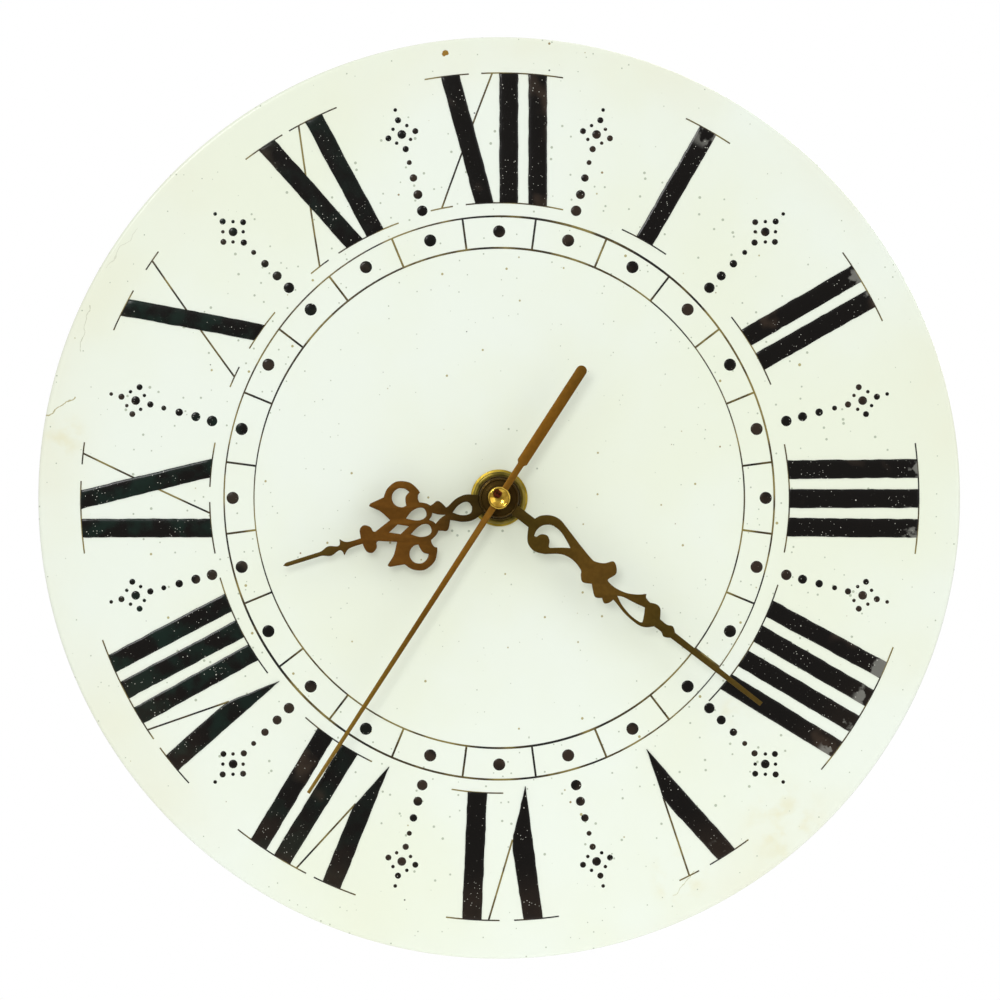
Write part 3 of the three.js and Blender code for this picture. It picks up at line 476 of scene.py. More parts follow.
@dataclass(frozen=True)
class WhiteEnamel:
    """Fired white enamel: clouding, a warm rim, stains, specks, cracks, one chip and a pale grey back.

    Each speck kind gives cells per metre, spot size, share of cells, colour and strength. Each stain
    gives its X, its Z and its radius. The rim pair is where the warm rim starts and where it is full.
    """

    cool: tuple = srgb(242, 249, 237)
    warm: tuple = srgb(240, 246, 226)
    rim: tuple = srgb(238, 238, 214)
    stain: tuple = srgb(232, 226, 184)
    counter: tuple = srgb(222, 225, 214)
    specks: tuple = (
        (480, 0.15, 0.5, srgb(168, 178, 154), 0.8),
        (210, 0.07, 0.5, srgb(164, 152, 84), 0.85),
        (120, 0.04, 0.5, srgb(130, 104, 36), 0.9),
        (85, 0.03, 0.7, srgb(44, 48, 40), 0.95),
    )
    cracks: tuple[Scratch, ...] = (
        Scratch((-0.1120, 0.0183), (-0.1035, 0.0248), 0.00013, srgb(170, 158, 100), 0.75),
        Scratch((-0.0998, 0.0470), (-0.1024, 0.0358), 0.00010, srgb(178, 178, 150), 0.55),
        Scratch((-0.0885, 0.0660), (-0.0960, 0.0560), 0.00008, srgb(190, 192, 166), 0.4),
        Scratch((0.0425, -0.0972), (0.0480, -0.0912), 0.00010, srgb(176, 172, 110), 0.5),
    )
    stains: tuple[tuple[float, float, float], ...] = (
        (0.0576, -0.0522, 0.0045),
        (0.0440, -0.0930, 0.0090),
        (0.0700, -0.0800, 0.0130),
        (-0.1060, 0.0150, 0.0070),
    )
    rim_reach: tuple[float, float] = (0.092, 0.1125)
    chip_place: tuple[float, float] = (-0.0132, 0.1086)
    chip_radius: float = 0.0013
    chip_ragged: float = 0.0012
    bared: tuple = srgb(150, 112, 34)
    crack_drift: float = 0.0036

    def material(self) -> bpy.types.Material:
        """Builds the enamel.

        Returns:
            The material.
        """
        graph = Graph("white_enamel")
        colour = graph.mix(graph.band(graph.noise(16, 4), 0.35, 0.65), self.cool, self.warm)
        near_rim = graph.band(graph.reach(), *self.rim_reach)
        worn = graph.times(near_rim, graph.band(graph.noise(22, 3), 0.4, 0.7))
        colour = graph.mix(graph.times(worn, 0.5), colour, self.rim)
        for x, z, radius in self.stains:
            near = graph.band(graph.reach((x, z)), radius, radius * 0.2)
            soft = graph.times(near, graph.band(graph.noise(190, 4), 0.4, 0.7))
            colour = graph.mix(graph.times(soft, 0.5), colour, self.stain)
        for scale, size, share, shade, weight in self.specks:
            colour = graph.mix(graph.times(graph.spots(scale, size, share), weight), colour, shade)
        for crack in self.cracks:
            line = graph.times(self.line(graph, crack), crack.strength)
            colour = graph.mix(line, colour, crack.colour)
        back = graph.mix(graph.band(graph.noise(38, 5), 0.3, 0.7), self.counter, self.rim)
        colour = graph.mix(self.behind(graph), colour, back)
        ragged = graph.times(graph.noise(1100, 2), self.chip_ragged)
        chip = graph.plus(graph.plus(graph.reach(self.chip_place), ragged), self.behind(graph))
        colour = graph.mix(graph.maths("LESS_THAN", chip, self.chip_radius), colour, self.bared)
        graph.set(Base_Color=colour, Roughness=graph.plus(0.16, graph.times(graph.noise(60), 0.12)))
        graph.set(Specular_IOR_Level=0.35)
        graph.bump(graph.noise(260, 2), 0.00004, 0.6)
        return graph.material

    @staticmethod
    def behind(graph: Graph) -> object:
        """Mask of the plate's back: places most of its thickness behind its domed front.

        Args:
            graph: the graph it is built in.

        Returns:
            1 on the back.
        """
        reach = graph.reach()
        low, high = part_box("dial")
        rise = graph.times(graph.times(reach, reach), DIAL_DOME / high.x**2)
        depth = graph.minus(graph.minus(graph.axes()[1], low.y), rise)
        return graph.band(depth, 0.6 * DIAL_THICKNESS, 0.8 * DIAL_THICKNESS)

    def line(self, graph: Graph, crack: Scratch) -> object:
        """Mask of a wandering line: places near the line through both ends, and between them.

        Args:
            graph: the graph it is built in.
            crack: the line's ends and width.

        Returns:
            1 on the line.
        """
        run = np.array(crack.end) - np.array(crack.start)
        length = float(np.linalg.norm(run))
        ahead_x, ahead_z = (run / length).tolist()
        x, _, z = graph.axes()
        x = graph.minus(x, crack.start[0])
        z = graph.minus(z, crack.start[1])
        along = graph.plus(graph.times(x, ahead_x), graph.times(z, ahead_z))
        aside = graph.minus(graph.times(x, ahead_z), graph.times(z, ahead_x))
        drift = graph.times(graph.minus(graph.noise(260, 4), 0.5), self.crack_drift)
        off = graph.maths("ABSOLUTE", graph.plus(aside, drift))
        thin = graph.maths("LESS_THAN", off, crack.half_width)
        middle = graph.maths("ABSOLUTE", graph.minus(along, length / 2))
        return graph.times(thin, graph.maths("LESS_THAN", middle, length / 2))


@dataclass(frozen=True)
class BlackGlaze:
    """Raised black enamel: a painted green-black sheen on the left side, brown where it is thin, with pale
    pits, and pale grey tips on the right that are partly wear and partly a painted glint.

    Each pair of places, in metres, is where an effect starts and where it is full.
    """

    name: str = "black_glaze"
    thin_from: float = 0.6
    painted_sheen_side: tuple[float, float] = (0.0, -0.09)
    lower_part: tuple[float, float] = (-0.03, -0.07)
    outer_part: tuple[float, float] = (0.088, 0.104)
    tip_glint_and_wear: tuple[float, float] = (0.0982, 0.1)
    glint_and_wear_side: tuple[float, float] = (0.03, 0.06)
    black: tuple = srgb(15, 12, 9)
    # green: the colour of the painted sheen on the left-side numerals.
    green: tuple = srgb(18, 34, 27)
    brown: tuple = srgb(60, 48, 38)
    pit: tuple = srgb(196, 196, 184)
    # worn: the pale grey of the right-hand tips, partly wear and partly a painted glint.
    worn: tuple = srgb(150, 150, 142)

    def material(self) -> bpy.types.Material:
        """Builds the glaze.

        Returns:
            The material.
        """
        graph = Graph(self.name)
        x, _, z = graph.axes()
        # Painted sheen: green-black mixed in on the left side and broken up by noise; it stands for a lamp's
        # reflection on the left numerals.
        painted_sheen_mask = graph.times(graph.band(x, *self.painted_sheen_side), graph.band(graph.noise(150, 3), 0.42, 0.62))
        colour = graph.mix(painted_sheen_mask, self.black, self.green)
        below = graph.times(graph.band(z, *self.lower_part), graph.band(graph.reach(), *self.outer_part))
        patches = graph.band(graph.noise(75, 3), self.thin_from, self.thin_from + 0.12)
        thin = graph.maths("MAXIMUM", patches, graph.times(below, graph.noise(160)))
        colour = graph.mix(graph.times(thin, 0.7), colour, self.brown)
        # Pale grey at the outer ends on the right side: partly wear, partly a painted glint.
        ends = graph.times(graph.band(graph.reach(), *self.tip_glint_and_wear), graph.band(x, *self.glint_and_wear_side))
        worn = graph.times(ends, graph.band(graph.noise(240, 4), 0.53, 0.6))
        colour = graph.mix(graph.times(worn, 0.55), colour, self.worn)
        pits = graph.times(graph.spots(1400, 0.15, 0.7), graph.band(graph.noise(120, 3), 0.36, 0.52))
        colour = graph.mix(graph.maths("MAXIMUM", pits, graph.spots(520, 0.075, 0.4)), colour, self.pit)
        graph.set(Base_Color=colour, Roughness=graph.plus(0.1, graph.times(graph.noise(300), 0.16)))
        graph.set(Specular_IOR_Level=0.22)
        graph.bump(graph.plus(graph.noise(420, 3), graph.times(graph.noise(1600, 2), 0.2)), 0.00004, 0.7)
        return graph.material


@dataclass(frozen=True)
class SepiaLine:
    """Thin fired line work that runs from near black to olive brown."""

    def material(self) -> bpy.types.Material:
        """Builds the line finish.

        Returns:
            The material.
        """
        graph = Graph("sepia_line")
        stops = [(0.4, srgb(16, 13, 5)), (0.5, srgb(70, 56, 18)), (0.6, srgb(134, 120, 60))]
        colour = graph.ramp(graph.noise(120, 5), stops)
        graph.set(Base_Color=colour, Roughness=0.3)
        graph.bump(graph.noise(900, 2), 0.00003, 0.6)
        return graph.material


@dataclass(frozen=True)
class Bronze:
    """Patinated sheet bronze whose colour drifts from the axis to the tip of a hand, over its length."""

    name: str
    length: float
    stops: tuple
    roughness: float = 0.4
    gain: float = 1.0

    def shade(self, seen: tuple[int, int, int]) -> tuple:
        """The metal's own colour for a colour seen in soft light: the seen colour times the gain."""
        return (*[min(1.0, channel * self.gain) for channel in srgb(*seen)[:3]], 1.0)

    def material(self) -> bpy.types.Material:
        """Builds the bronze.

        Returns:
            The material.
        """
        graph = Graph(self.name)
        share = graph.maths("DIVIDE", graph.reach(), self.length)
        drift = graph.times(graph.minus(graph.noise(60, 3), 0.5), 0.16)
        stops = [(place, self.shade(seen)) for place, seen in self.stops]
        colour = graph.ramp(graph.plus(share, drift), stops)
        mottle = graph.band(graph.noise(900, 5), 0.35, 0.65)
        darker = graph.mix(0.3, colour, srgb(30, 18, 6))
        colour = graph.mix(graph.times(mottle, 0.45), colour, darker)
        rough = graph.plus(self.roughness, graph.times(graph.noise(1400, 4), 0.16))
        graph.set(Base_Color=colour, Metallic=1.0, Roughness=rough)
        graph.bump(graph.noise(2200, 4), 0.000018, 0.8)
        return graph.material


@dataclass(frozen=True)
class TurnedMetal:
    """Lathe-turned metal: fine rings about an axis along Y, with stains and a light grain."""

    name: str
    bright: tuple[int, int, int]
    dull: tuple[int, int, int]
    roughness: float = 0.28
    ring_pitch: float = 0.00016

    def material(self) -> bpy.types.Material:
        """Builds the metal.

        Returns:
            The material.
        """
        graph = Graph(self.name)
        stain = graph.band(graph.noise(260, 4), 0.38, 0.68)
        colour = graph.mix(stain, srgb(*self.bright), srgb(*self.dull))
        rings = graph.maths("SINE", graph.times(graph.reach(), float(TURN) / self.ring_pitch))
        rough = graph.plus(self.roughness, graph.times(stain, 0.14))
        graph.set(Base_Color=colour, Metallic=1.0, Roughness=rough)
        grain = graph.plus(graph.times(rings, 0.35), graph.noise(1800, 3))
        graph.bump(grain, 0.000008, 0.7)
        return graph.material


@dataclass(frozen=True)
class HubBrass:
    """Polished brass of the seconds cap, with one ragged dark patch in its dish."""

    patch: tuple[float, float] = (-0.0005, 0.0010)
    patch_inside: float = 0.00152
    patch_outside: float = 0.00172
    ragged: float = 0.0010
    ring_pitch: float = 0.0003

    def material(self) -> bpy.types.Material:
        """Builds the brass: rings round the axis, and a ragged patch with a reddish edge.

        Returns:
            The material.
        """
        graph = Graph("polished_brass")
        colour = graph.mix(graph.band(graph.noise(700, 4), 0.35, 0.7), srgb(218, 180, 74), srgb(168, 130, 44))
        ragged = graph.plus(graph.reach(self.patch), graph.times(graph.noise(1300, 3), self.ragged))
        mask = graph.band(ragged, self.patch_outside, self.patch_inside)
        # A ragged dark patch with a reddish edge, set off the middle of the dish.
        dark_patch = graph.mix(graph.band(graph.noise(1800, 2), 0.45, 0.6), srgb(52, 30, 12), srgb(104, 44, 26))
        graph.set(Base_Color=graph.mix(mask, colour, dark_patch), Metallic=1.0)
        graph.set(Roughness=graph.plus(0.1, graph.times(mask, 0.25)))
        rings = graph.maths("SINE", graph.times(graph.reach(), float(TURN) / self.ring_pitch))
        graph.bump(graph.plus(graph.times(rings, 0.3), graph.noise(1500, 3)), 0.00001, 0.7)
        return graph.material


@dataclass(frozen=True)
class SheetMetal:
    """Rolled sheet or wire metal with a directional grain along Z."""

    name: str
    colour: tuple[int, int, int]
    roughness: float = 0.32

    def material(self) -> bpy.types.Material:
        """Builds the sheet metal.

        Returns:
            The material.
        """
        graph = Graph(self.name)
        inputs = {"Vector": graph.place, "Scale": (1.0, 1.0, 0.04)}
        stretch = graph.add("ShaderNodeMapping", inputs).outputs[0]
        grain = graph.noise(2600, 3, stretch)
        light = srgb(*self.colour)
        dark = srgb(*[int(channel * 0.82) for channel in self.colour])
        colour = graph.mix(graph.band(graph.noise(120, 4), 0.3, 0.7), light, dark)
        rough = graph.plus(self.roughness, graph.times(grain, 0.2))
        graph.set(Base_Color=colour, Metallic=1.0, Roughness=rough)
        graph.bump(grain, 0.000012, 0.6)
        return graph.material


@dataclass(frozen=True)
class Moulded:
    """Moulded plastic, rubber or resin: one colour with slight drift, and a spark-eroded grain."""

    name: str
    colour: tuple[int, int, int]
    roughness: float = 0.5
    grain: float = 0.00003
    grain_scale: float = 1500

    def material(self) -> bpy.types.Material:
        """Builds the plastic.

        Returns:
            The material.
        """
        graph = Graph(self.name)
        lighter = [min(255, int(channel * 1.14 + 4)) for channel in self.colour]
        colour = graph.mix(graph.band(graph.noise(70, 4), 0.3, 0.7), srgb(*self.colour), srgb(*lighter))
        rough = graph.plus(self.roughness, graph.times(graph.noise(400, 3), 0.12))
        graph.set(Base_Color=colour, Roughness=rough)
        graph.bump(graph.noise(self.grain_scale, 3), self.grain, 0.8)
        return graph.material


@dataclass(frozen=True)
class CoilWire:
    """Enamelled copper wire laid in turns round an upright bobbin."""

    wire: float = 0.00022

    def material(self) -> bpy.types.Material:
        """Builds the winding: rounded ridges one wire apart along Z, with painted shade in the grooves and a
        painted highlight on the tops.

        Returns:
            The material.
        """
        graph = Graph("copper_wire")
        z = graph.axes()[2]
        turns = graph.maths("ABSOLUTE", graph.maths("SINE", graph.times(z, math.pi / self.wire)))
        # The colour follows the ridges: painted shade between the turns, and a painted highlight on their
        # tops.
        colour = graph.mix(turns, srgb(84, 34, 14), srgb(190, 100, 52))
        rough = graph.plus(0.22, graph.times(graph.noise(500), 0.1))
        graph.set(Base_Color=colour, Metallic=0.85, Roughness=rough)
        graph.bump(turns, 0.00006, 0.9)
        return graph.material


@dataclass(frozen=True)
class BoardLaminate:
    """Printed board: green solder mask over faint copper tracks."""

    def material(self) -> bpy.types.Material:
        """Builds the board; tracks are the edges of blocky cells.

        Returns:
            The material.
        """
        graph = Graph("green_board")
        inputs = {"Vector": graph.place, "Scale": 420.0, "Randomness": 0.25}
        cells = graph.add("ShaderNodeTexVoronoi", inputs, feature="DISTANCE_TO_EDGE", distance="EUCLIDEAN")
        track = graph.maths("LESS_THAN", cells.outputs["Distance"], 0.12)
        colour = graph.mix(track, srgb(20, 84, 52), srgb(44, 118, 66))
        graph.set(Base_Color=colour, Roughness=graph.plus(0.3, graph.times(graph.noise(300), 0.1)))
        graph.bump(track, 0.00003, 0.7)
        return graph.material


@dataclass(frozen=True)
class CellJacket:
    """Plain two-tone jacket of a battery along X: a slate barrel, and a pale steel band at the plus end."""

    band_start: float = 0.0135

    def material(self) -> bpy.types.Material:
        """Builds the jacket along X.

        Returns:
            The material.
        """
        graph = Graph("cell_jacket")
        x = graph.axes()[0]
        band = graph.maths("GREATER_THAN", x, self.band_start)
        inputs = {"Vector": graph.place, "Scale": (0.05, 1.0, 1.0)}
        brushed = graph.add("ShaderNodeMapping", inputs).outputs[0]
        barrel = graph.mix(graph.noise(1200, 3, brushed), srgb(44, 70, 92), srgb(58, 86, 110))
        pale = graph.mix(graph.noise(1200, 3, brushed), srgb(176, 180, 184), srgb(206, 208, 210))
        graph.set(Base_Color=graph.mix(band, barrel, pale), Metallic=0.4)
        graph.set(Roughness=graph.plus(0.26, graph.times(graph.noise(200), 0.12)))
        graph.bump(graph.noise(700, 2), 0.000015, 0.6)
        return graph.material


# Each stop gives a place along the hand, from 0 at the axis to 1 at the tip, and the colour seen there.
HOUR_STOPS = (
    (0.0, (62, 50, 22)),
    (0.22, (70, 52, 22)),
    (0.42, (114, 76, 29)),
    (0.62, (106, 70, 28)),
    (0.8, (88, 70, 30)),
    (1.0, (98, 78, 36)),
)
MINUTE_STOPS = (
    (0.0, (60, 46, 20)),
    (0.12, (70, 56, 20)),
    (0.36, (96, 70, 28)),
    (0.5, (88, 66, 26)),
    (0.62, (72, 58, 22)),
    (1.0, (92, 74, 34)),
)
SECOND_STOPS = (
    (0.0, (134, 94, 34)),
    (0.25, (132, 90, 30)),
    (0.45, (116, 82, 30)),
    (0.7, (136, 104, 40)),
    (1.0, (148, 120, 56)),
)


class Finishes:
    """Every finish, built once, by the record's slot."""

    def __init__(self) -> None:
        """Builds the materials."""
        made = {
            Slot.ENAMEL: WhiteEnamel(),
            Slot.BRASS: TurnedMetal("brass", (192, 164, 62), (146, 124, 40)),
            # aged_brass, darker than brass, goes on the nut: partly its older colour, partly painted shade on
            # its face under the hands.
            Slot.AGED_BRASS: TurnedMetal("aged_brass", (140, 122, 52), (92, 82, 34), roughness=0.34),
            Slot.POLISHED_BRASS: HubBrass(),
            Slot.HOUR_BRONZE: Bronze("hour_bronze", 0.0551, HOUR_STOPS, roughness=0.46, gain=0.95),
            Slot.MINUTE_BRONZE: Bronze("minute_bronze", 0.0812, MINUTE_STOPS, roughness=0.42, gain=1.25),
            Slot.SECOND_BRONZE: Bronze("second_bronze", 0.0854, SECOND_STOPS, roughness=0.38),
            Slot.RUBBER: Moulded("rubber", (26, 26, 27), 0.75, grain=0.00004, grain_scale=900),
            Slot.ZINC_STEEL: SheetMetal("zinc_steel", (186, 188, 186)),
            Slot.SPRING_STEEL: SheetMetal("spring_steel", (204, 203, 196), roughness=0.22),
            Slot.SOFT_IRON: SheetMetal("soft_iron", (142, 142, 144), roughness=0.42),
            Slot.BLACK_PLASTIC: Moulded("black_plastic", (44, 45, 48), roughness=0.46),
            Slot.GREY_PLASTIC: Moulded("grey_plastic", (92, 95, 99)),
            Slot.WHITE_PLASTIC: Moulded("white_plastic", (232, 230, 220), roughness=0.38, grain=0.00001),
            Slot.COPPER_WIRE: CoilWire(),
            Slot.BOARD: BoardLaminate(),
            Slot.BLACK_RESIN: Moulded("black_resin", (14, 14, 15), 0.14, grain=0.00002, grain_scale=500),
            Slot.MAGNET: Moulded("dark_magnet", (70, 70, 76), 0.42, grain=0.00002, grain_scale=2200),
            Slot.CELL_JACKET: CellJacket(),
        }
        self.by_slot = {slot: finish.material() for slot, finish in made.items()}
        self.glaze = BlackGlaze().material()
        self.drop_glaze = BlackGlaze("drop_glaze", thin_from=0.46).material()
        self.sepia = SepiaLine().material()

    def of(self, slot: Slot) -> bpy.types.Material:
        """The material of a slot."""
        return self.by_slot[slot]

    def dress_nodes(self) -> None:
        """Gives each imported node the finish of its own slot."""
        for part in frame["record"]["subparts"]:
            mesh = frame["nodes"][part["node"]].data
            mesh.materials.clear()
            mesh.materials.append(self.of(Slot(part["material_slot"])))


# ---- dial --------------------------------------------------------------------------------------


@dataclass
class Dial:
    """The domed enamel plate; its front is y = crown + dome (r / R)^2, with R the plate's radius."""

    finishes: Finishes
    dome: float = DIAL_DOME
    thickness: float = DIAL_THICKNESS
    hole: float = 4.6 * MM
    edge: float = 0.9 * MM
    edge_power: float = 0.8
    columns: int = 256
    radius: float = field(init=False)
    crown: float = field(init=False)

    def __post_init__(self) -> None:
        """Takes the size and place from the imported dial."""
        low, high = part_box("dial")
        self.radius = high.x
        self.crown = low.y - self.dome * (self.hole / self.radius) ** 2

    def front(self, x: np.ndarray, z: np.ndarray) -> np.ndarray:
        """Height y of the front face over places x, z on the dial."""
        return self.crown + self.dome * (x * x + z * z) / self.radius**2

    def lifted(self, flat: np.ndarray, lift: np.ndarray) -> np.ndarray:
        """Lays flat x, z places on the front face.

        Args:
            flat: array of ... x 2 places in metres.
            lift: height above the face, in metres, of the same leading shape.

        Returns:
            The ... x 3 points.
        """
        x, z = flat[..., 0], flat[..., 1]
        return np.stack([x, self.front(x, z) - lift, z], axis=-1)

    def build(self) -> None:
        """Turns the plate: hole wall, front, rim as half a superellipse, and back."""
        rim = self.radius - self.edge
        out = np.linspace(self.hole, rim, 44)
        front = np.stack([out, self.crown + self.dome * (out / self.radius) ** 2], axis=1)
        back = np.stack([out[::-1], front[::-1, 1] + self.thickness], axis=1)
        angle = np.linspace(0, np.pi, 14)[1:-1]
        middle = front[-1, 1] + self.thickness / 2
        bulge = rim + self.edge * np.sin(angle) ** self.edge_power
        rise = -np.sign(np.cos(angle)) * np.abs(np.cos(angle)) ** self.edge_power * self.thickness / 2
        edge = np.stack([bulge, middle + rise], axis=1)
        surface = turned(np.vstack([front, edge, back]), self.columns)
        make_piece("dial_enamel", [surface], self.finishes.of(Slot.ENAMEL), Slot.ENAMEL, replaces=("dial",))


@dataclass(frozen=True)
class FlatFace:
    """A flat face square to Y, for raised marks that look to the wall."""

    y: float

    def lifted(self, flat: np.ndarray, lift: np.ndarray) -> np.ndarray:
        """Puts places on the face, moved toward the wall by their lift.

        Args:
            flat: ... x 2 places x and z.
            lift: height over the face at each place.

        Returns:
            ... x 3 points.
        """
        height = np.broadcast_to(self.y + lift, flat.shape[:-1])
        return np.stack([flat[..., 0], height, flat[..., 1]], axis=-1)


def superellipse(count: int, power: float, height: float, sink: float) -> tuple[np.ndarray, np.ndarray]:
    """Section of a raised stroke: across = |cos|^(2/p), up = height |sin|^(2/p), sunk below.

    Args:
        count: points round the section.
        power: p; more is squarer.
        height: top above the dial.
        sink: depth of the underside below the dial's face.

    Returns:
        Arrays of the place across, -1 to 1, and of the height.
    """
    angle = np.linspace(0, TURN, count, endpoint=False) + TURN / (2 * count)
    across = np.sign(np.cos(angle)) * np.abs(np.cos(angle)) ** (2 / power)
    up = np.abs(np.sin(angle)) ** (2 / power)
    return across, np.where(np.sin(angle) > 0, up * height, -up * sink)


@dataclass
class Relief:
    """Makes raised strokes and dots that lie on the dial's dome or on a flat face.

    Strokes and lines are superellipses in section, by their powers. A stroke with a seed wanders
    sideways and in width by up to the edge's wander, and in height by a share of it.
    """

    dial: Dial | FlatFace
    height: float = 0.3 * MM
    sink: float = 0.05 * MM
    rounding: float = 0.3 * MM
    section: int = 16
    stroke_power: float = 3.6
    line_power: float = 2.6
    edge_wander: float = 0.06 * MM
    height_wander: float = 0.07
    most_wander: float = 0.2

    def stroke(
        self,
        left: np.ndarray,
        right: np.ndarray,
        height: float | None = None,
        rows: int = 26,
        seed: int | None = None,
    ) -> Surface:
        """A stroke between two edge lines: each row is a superellipse from left to right edge.

        Args:
            left: n x 2 places of the left edge, in metres.
            right: the matching places of the right edge.
            height: its height, or the usual one.
            rows: rows between the rounded ends.
            seed: where given, the edges and the height wander as hand-laid enamel does.

        Returns:
            A closed surface; its ends rise as quarter ellipses and close in poles.
        """
        middle = (left + right) / 2
        run = np.concatenate([[0], np.cumsum(np.linalg.norm(np.diff(middle, axis=0), axis=1))])
        ease = np.array([0, 0.08, 0.3, 0.6, 1.0]) * min(self.rounding, run[-1] / 3)
        inner = np.linspace(ease[-1], run[-1] - ease[-1], rows)[1:-1]
        place = np.concatenate([ease, inner, run[-1] - ease[::-1]])
        sides = [
            np.stack([np.interp(place, run, side[:, axis]) for axis in (0, 1)], axis=1)
            for side in (left, right)
        ]
        near = np.clip(np.minimum(place, run[-1] - place) / ease[-1], 0, 1)
        rise = np.sqrt(1 - (1 - near) ** 2)
        across, up = superellipse(self.section, self.stroke_power, height or self.height, self.sink)
        centre = (sides[0] + sides[1]) / 2
        half = (sides[1] - sides[0]) / 2
        if seed is not None:
            drift = self.wander(place, seed)
            breadth = np.maximum(np.linalg.norm(half, axis=1, keepdims=True), 0.001 * MM)
            centre = centre + half / breadth * drift[0][:, None] * self.edge_wander
            half = half * (1 + drift[1][:, None] * np.minimum(self.edge_wander / breadth, self.most_wander))
            rise = rise * (1 + drift[2] * self.height_wander)
        flat = centre[:, None, :] + half[:, None, :] * across[None, :, None]
        lift = np.where(up > 0, up * rise[:, None], up)
        points = self.dial.lifted(flat, lift)
        ends = np.repeat(centre[[0, -1], None], self.section, axis=1)
        first, last = self.dial.lifted(ends, np.zeros(ends.shape[:-1]))
        return Surface.grid(np.concatenate([first[None], points, last[None]]), wrap_columns=True)

    @staticmethod
    def wander(place: np.ndarray, seed: int, step: float = 1.6 * MM) -> np.ndarray:
        """Three smooth random curves along a run: cosine-eased values, one for each step of the run.

        Args:
            place: distances along the run.
            seed: fixes the random values.
            step: distance between two random values.

        Returns:
            3 x n array of values between -1 and 1.
        """
        knots = int(place[-1] / step) + 3
        values = np.random.default_rng(seed).uniform(-1, 1, (3, knots))
        share = place / step
        low = share.astype(int)
        ease = (1 - np.cos(np.pi * (share - low))) / 2
        return values[:, low] * (1 - ease) + values[:, low + 1] * ease

    def line(self, path: np.ndarray, width: float, height: float) -> Surface:
        """A stroke of even width: each edge is the path moved sideways by half the width.

        Args:
            path: n x 2 places along the middle.
            width: width of the stroke, in metres.
            height: its height.

        Returns:
            A closed surface.
        """
        ahead = np.gradient(path, axis=0)
        side = np.stack([-ahead[:, 1], ahead[:, 0]], axis=1)
        side *= width / 2 / np.linalg.norm(side, axis=1, keepdims=True)
        return self.stroke(path - side, path + side, height, rows=max(4, len(path)))

    def loop(self, path: np.ndarray, width: np.ndarray, height: float) -> Surface:
        """A closed line: a superellipse carried round a closed path.

        Args:
            path: n x 2 places, without the first again at the end.
            width: n widths, in metres.
            height: its height.

        Returns:
            A closed surface.
        """
        ahead = np.roll(path, -1, axis=0) - np.roll(path, 1, axis=0)
        side = np.stack([-ahead[:, 1], ahead[:, 0]], axis=1)
        side *= (width / 2 / np.linalg.norm(side, axis=1))[:, None]
        across, up = superellipse(self.section, self.line_power, height, self.sink)
        flat = path[:, None, :] + side[:, None, :] * across[None, :, None]
        lift = np.repeat(up[None], len(path), axis=0)
        return Surface.grid(self.dial.lifted(flat, lift), wrap_rows=True, wrap_columns=True)

    def dots(self, centres: np.ndarray, radii: np.ndarray, height: float = 0.2 * MM) -> list[Surface]:
        """Round drops: height falls from the middle as the square root of 1 - (r / R)^2.4.

        Args:
            centres: n x 2 places in metres.
            radii: n radii in metres.
            height: height of a drop 1 mm in radius or more; smaller ones are lower.

        Returns:
            One closed surface for each drop.
        """
        share = np.array([0, 0.45, 0.78, 0.94, 1.0, 1.0, 0.0])
        lift = np.sqrt(1 - share**2.4) * height
        lift[-2:] = -self.sink
        angle = np.linspace(0, TURN, 18, endpoint=False)
        ring = np.stack([np.sin(angle), np.cos(angle)], axis=1)
        drops = []
        for centre, radius in zip(centres, radii):
            flat = centre + ring[None] * (share * radius)[:, None, None]
            tall = np.where(lift > 0, lift * min(1.0, radius / MM), lift)
            points = self.dial.lifted(flat, np.repeat(tall[:, None], len(angle), axis=1))
            drops.append(Surface.grid(points, wrap_columns=True))
        return drops


def on_clock(angle: float, across: np.ndarray, radius: np.ndarray) -> np.ndarray:
    """Places in x and z near a clock angle.

    Args:
        angle: clockwise from twelve, in radians.
        across: clockwise distance from the angle's own ray, in metres.
        radius: distance from the dial's middle, in metres.

    Returns:
        n x 2 places: the along part is the square root of radius^2 - across^2.
    """
    across, radius = np.broadcast_arrays(np.asarray(across, float), np.asarray(radius, float))
    along = np.sqrt(radius**2 - across**2)
    x = along * math.sin(angle) + across * math.cos(angle)
    z = along * math.cos(angle) - across * math.sin(angle)
    return np.stack([x, z], axis=-1)


@dataclass(frozen=True)
class Bar:
    """A straight thick stroke, by the offsets of its middle at the outer and inner circle, in mm."""

    outer: float
    inner: float
    width: float = 4.6


@dataclass(frozen=True)
class Hair:
    """A hairline, by its offsets at the outer and inner circle, in mm."""

    outer: float
    inner: float


@dataclass(frozen=True)
class Vee:
    """The V of a numeral: a thick side that tapers to the apex, and a hairline that joins it, in mm."""

    outer: float
    width: float
    apex: float
    apex_radius: float
    joint: float
    joint_radius: float
    hair: float


@dataclass(frozen=True)
class NumeralShape:
    """One numeral: its hour, the two circles that it stands between, in mm, its bars, and its X or V."""

    hour: int
    inner_radius: float
    outer_radius: float
    bars: tuple[Bar, ...] = ()
    ex: tuple[Bar, Hair] | None = None
    vee: Vee | None = None


